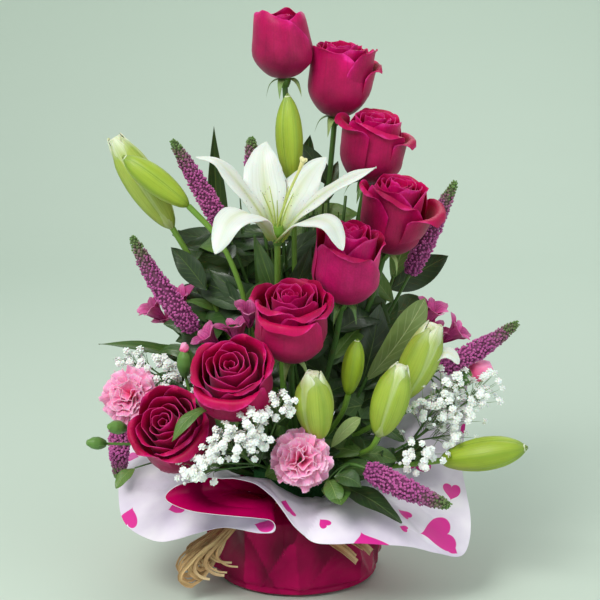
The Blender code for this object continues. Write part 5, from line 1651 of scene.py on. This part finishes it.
def foamLook(name):
    tree, shader = newLook(name, 0.92, Specular_IOR_Level=0.15)
    mottle = mottleIn(tree, 80.0)
    pores = nodeIn(tree, "ShaderNodeTexVoronoi", (objectPoint(tree), "Vector"),
                   (900.0, "Scale")).outputs["Distance"]
    body = rampIn(tree, mottle["Blotch"], "0.3 22502c, 0.7 35693a")
    # the pores are painted darker: painted shade in the foam's small pits
    paint(tree, shader, mixIn(tree, mathIn(tree, "LESS_THAN", pores, 0.28), body, "183a20"))
    bumpIn(tree, shader, plusIn(tree, pores, mottle["Grain"]), 0.7, 0.0006)


for node, makeLook, name in (("bowl", plasticLook, "bowlPlastic"), ("floral_foam", foamLook, "wetFoam")):
    makeLook(name)
    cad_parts[node].material_slots[0].material = looks[name]
print("bowl and foam finished")


# camera, light and floor
studio = dict(distance=1.35, height=0.24, tilt=12.0, lens=95.3, side=0.0034, air=(0.8, 0.86, 0.82, 1),
              glow=0.58, floor="c6d5c9", wide=7, long=5.4, near=-2.2, flat=1.4, bend=0.6, below=0.0008)
lamps = {  # place, power, size and tone
    "keyLight": ((-0.8, -1.2, 1.7), 30, 0.9, (1.0, 0.98, 0.95)),
    "fillLight": ((1.5, -1.2, 0.9), 9, 1.6, (0.95, 0.98, 1.0)),
    "backLight": ((0.4, 1.6, 1.5), 12, 1.4, (1.0, 1.0, 1.0)),
}


def makeStudio():
    tilt = math.radians(studio["tilt"])
    aim = Vector((studio["side"], 0, studio["height"]))
    bpy.ops.object.camera_add(location=aim + Vector((0, -math.cos(tilt), math.sin(tilt)))
                              * studio["distance"])
    camera = bpy.context.object
    camera.rotation_euler = (math.pi / 2 - tilt, 0, 0)
    camera.data.lens, camera.data.sensor_width = studio["lens"], 36
    bpy.context.scene.camera = camera
    for name, (spot, power, size, tone) in lamps.items():
        bpy.ops.object.light_add(type="AREA", location=spot)
        light = bpy.context.object
        light.name = name
        light.data.energy, light.data.size, light.data.color = power, size, tone
        light.rotation_euler = (aim - Vector(spot)).to_track_quat("-Z", "Y").to_euler()
    world = bpy.data.worlds.new("studioAir")
    world.use_nodes = True
    air = world.node_tree.nodes["Background"].inputs
    air[0].default_value, air[1].default_value = studio["air"], studio["glow"]
    bpy.context.scene.world = world
    bpy.context.scene.view_settings.view_transform = "Standard"


def makeFloor():
    # a paper sweep that runs flat under the piece and bends up behind it
    _, shader = newLook("studioPaper", 0.9)
    shader.inputs["Base Color"].default_value = (*rgb(studio["floor"]), 1)
    bpy.ops.mesh.primitive_grid_add(x_subdivisions=4, y_subdivisions=40, size=1)
    floor = bpy.context.object
    floor.name = "studioFloor"
    flat, bend = studio["flat"], studio["bend"]
    for vert in floor.data.vertices:
        run = (vert.co.y + 0.5) * studio["long"] + studio["near"]
        past = max(0.0, run - flat)
        angle = min(past / bend, math.pi / 2)
        high = bend * (1 - math.cos(angle)) + max(0.0, past - bend * math.pi / 2)
        vert.co = (vert.co.x * studio["wide"], min(run, flat) + bend * math.sin(angle),
                   high - studio["below"])
    floor.data.materials.append(looks["studioPaper"])
    smooth(floor, 80)


makeStudio()
makeFloor()
print("studio ready")
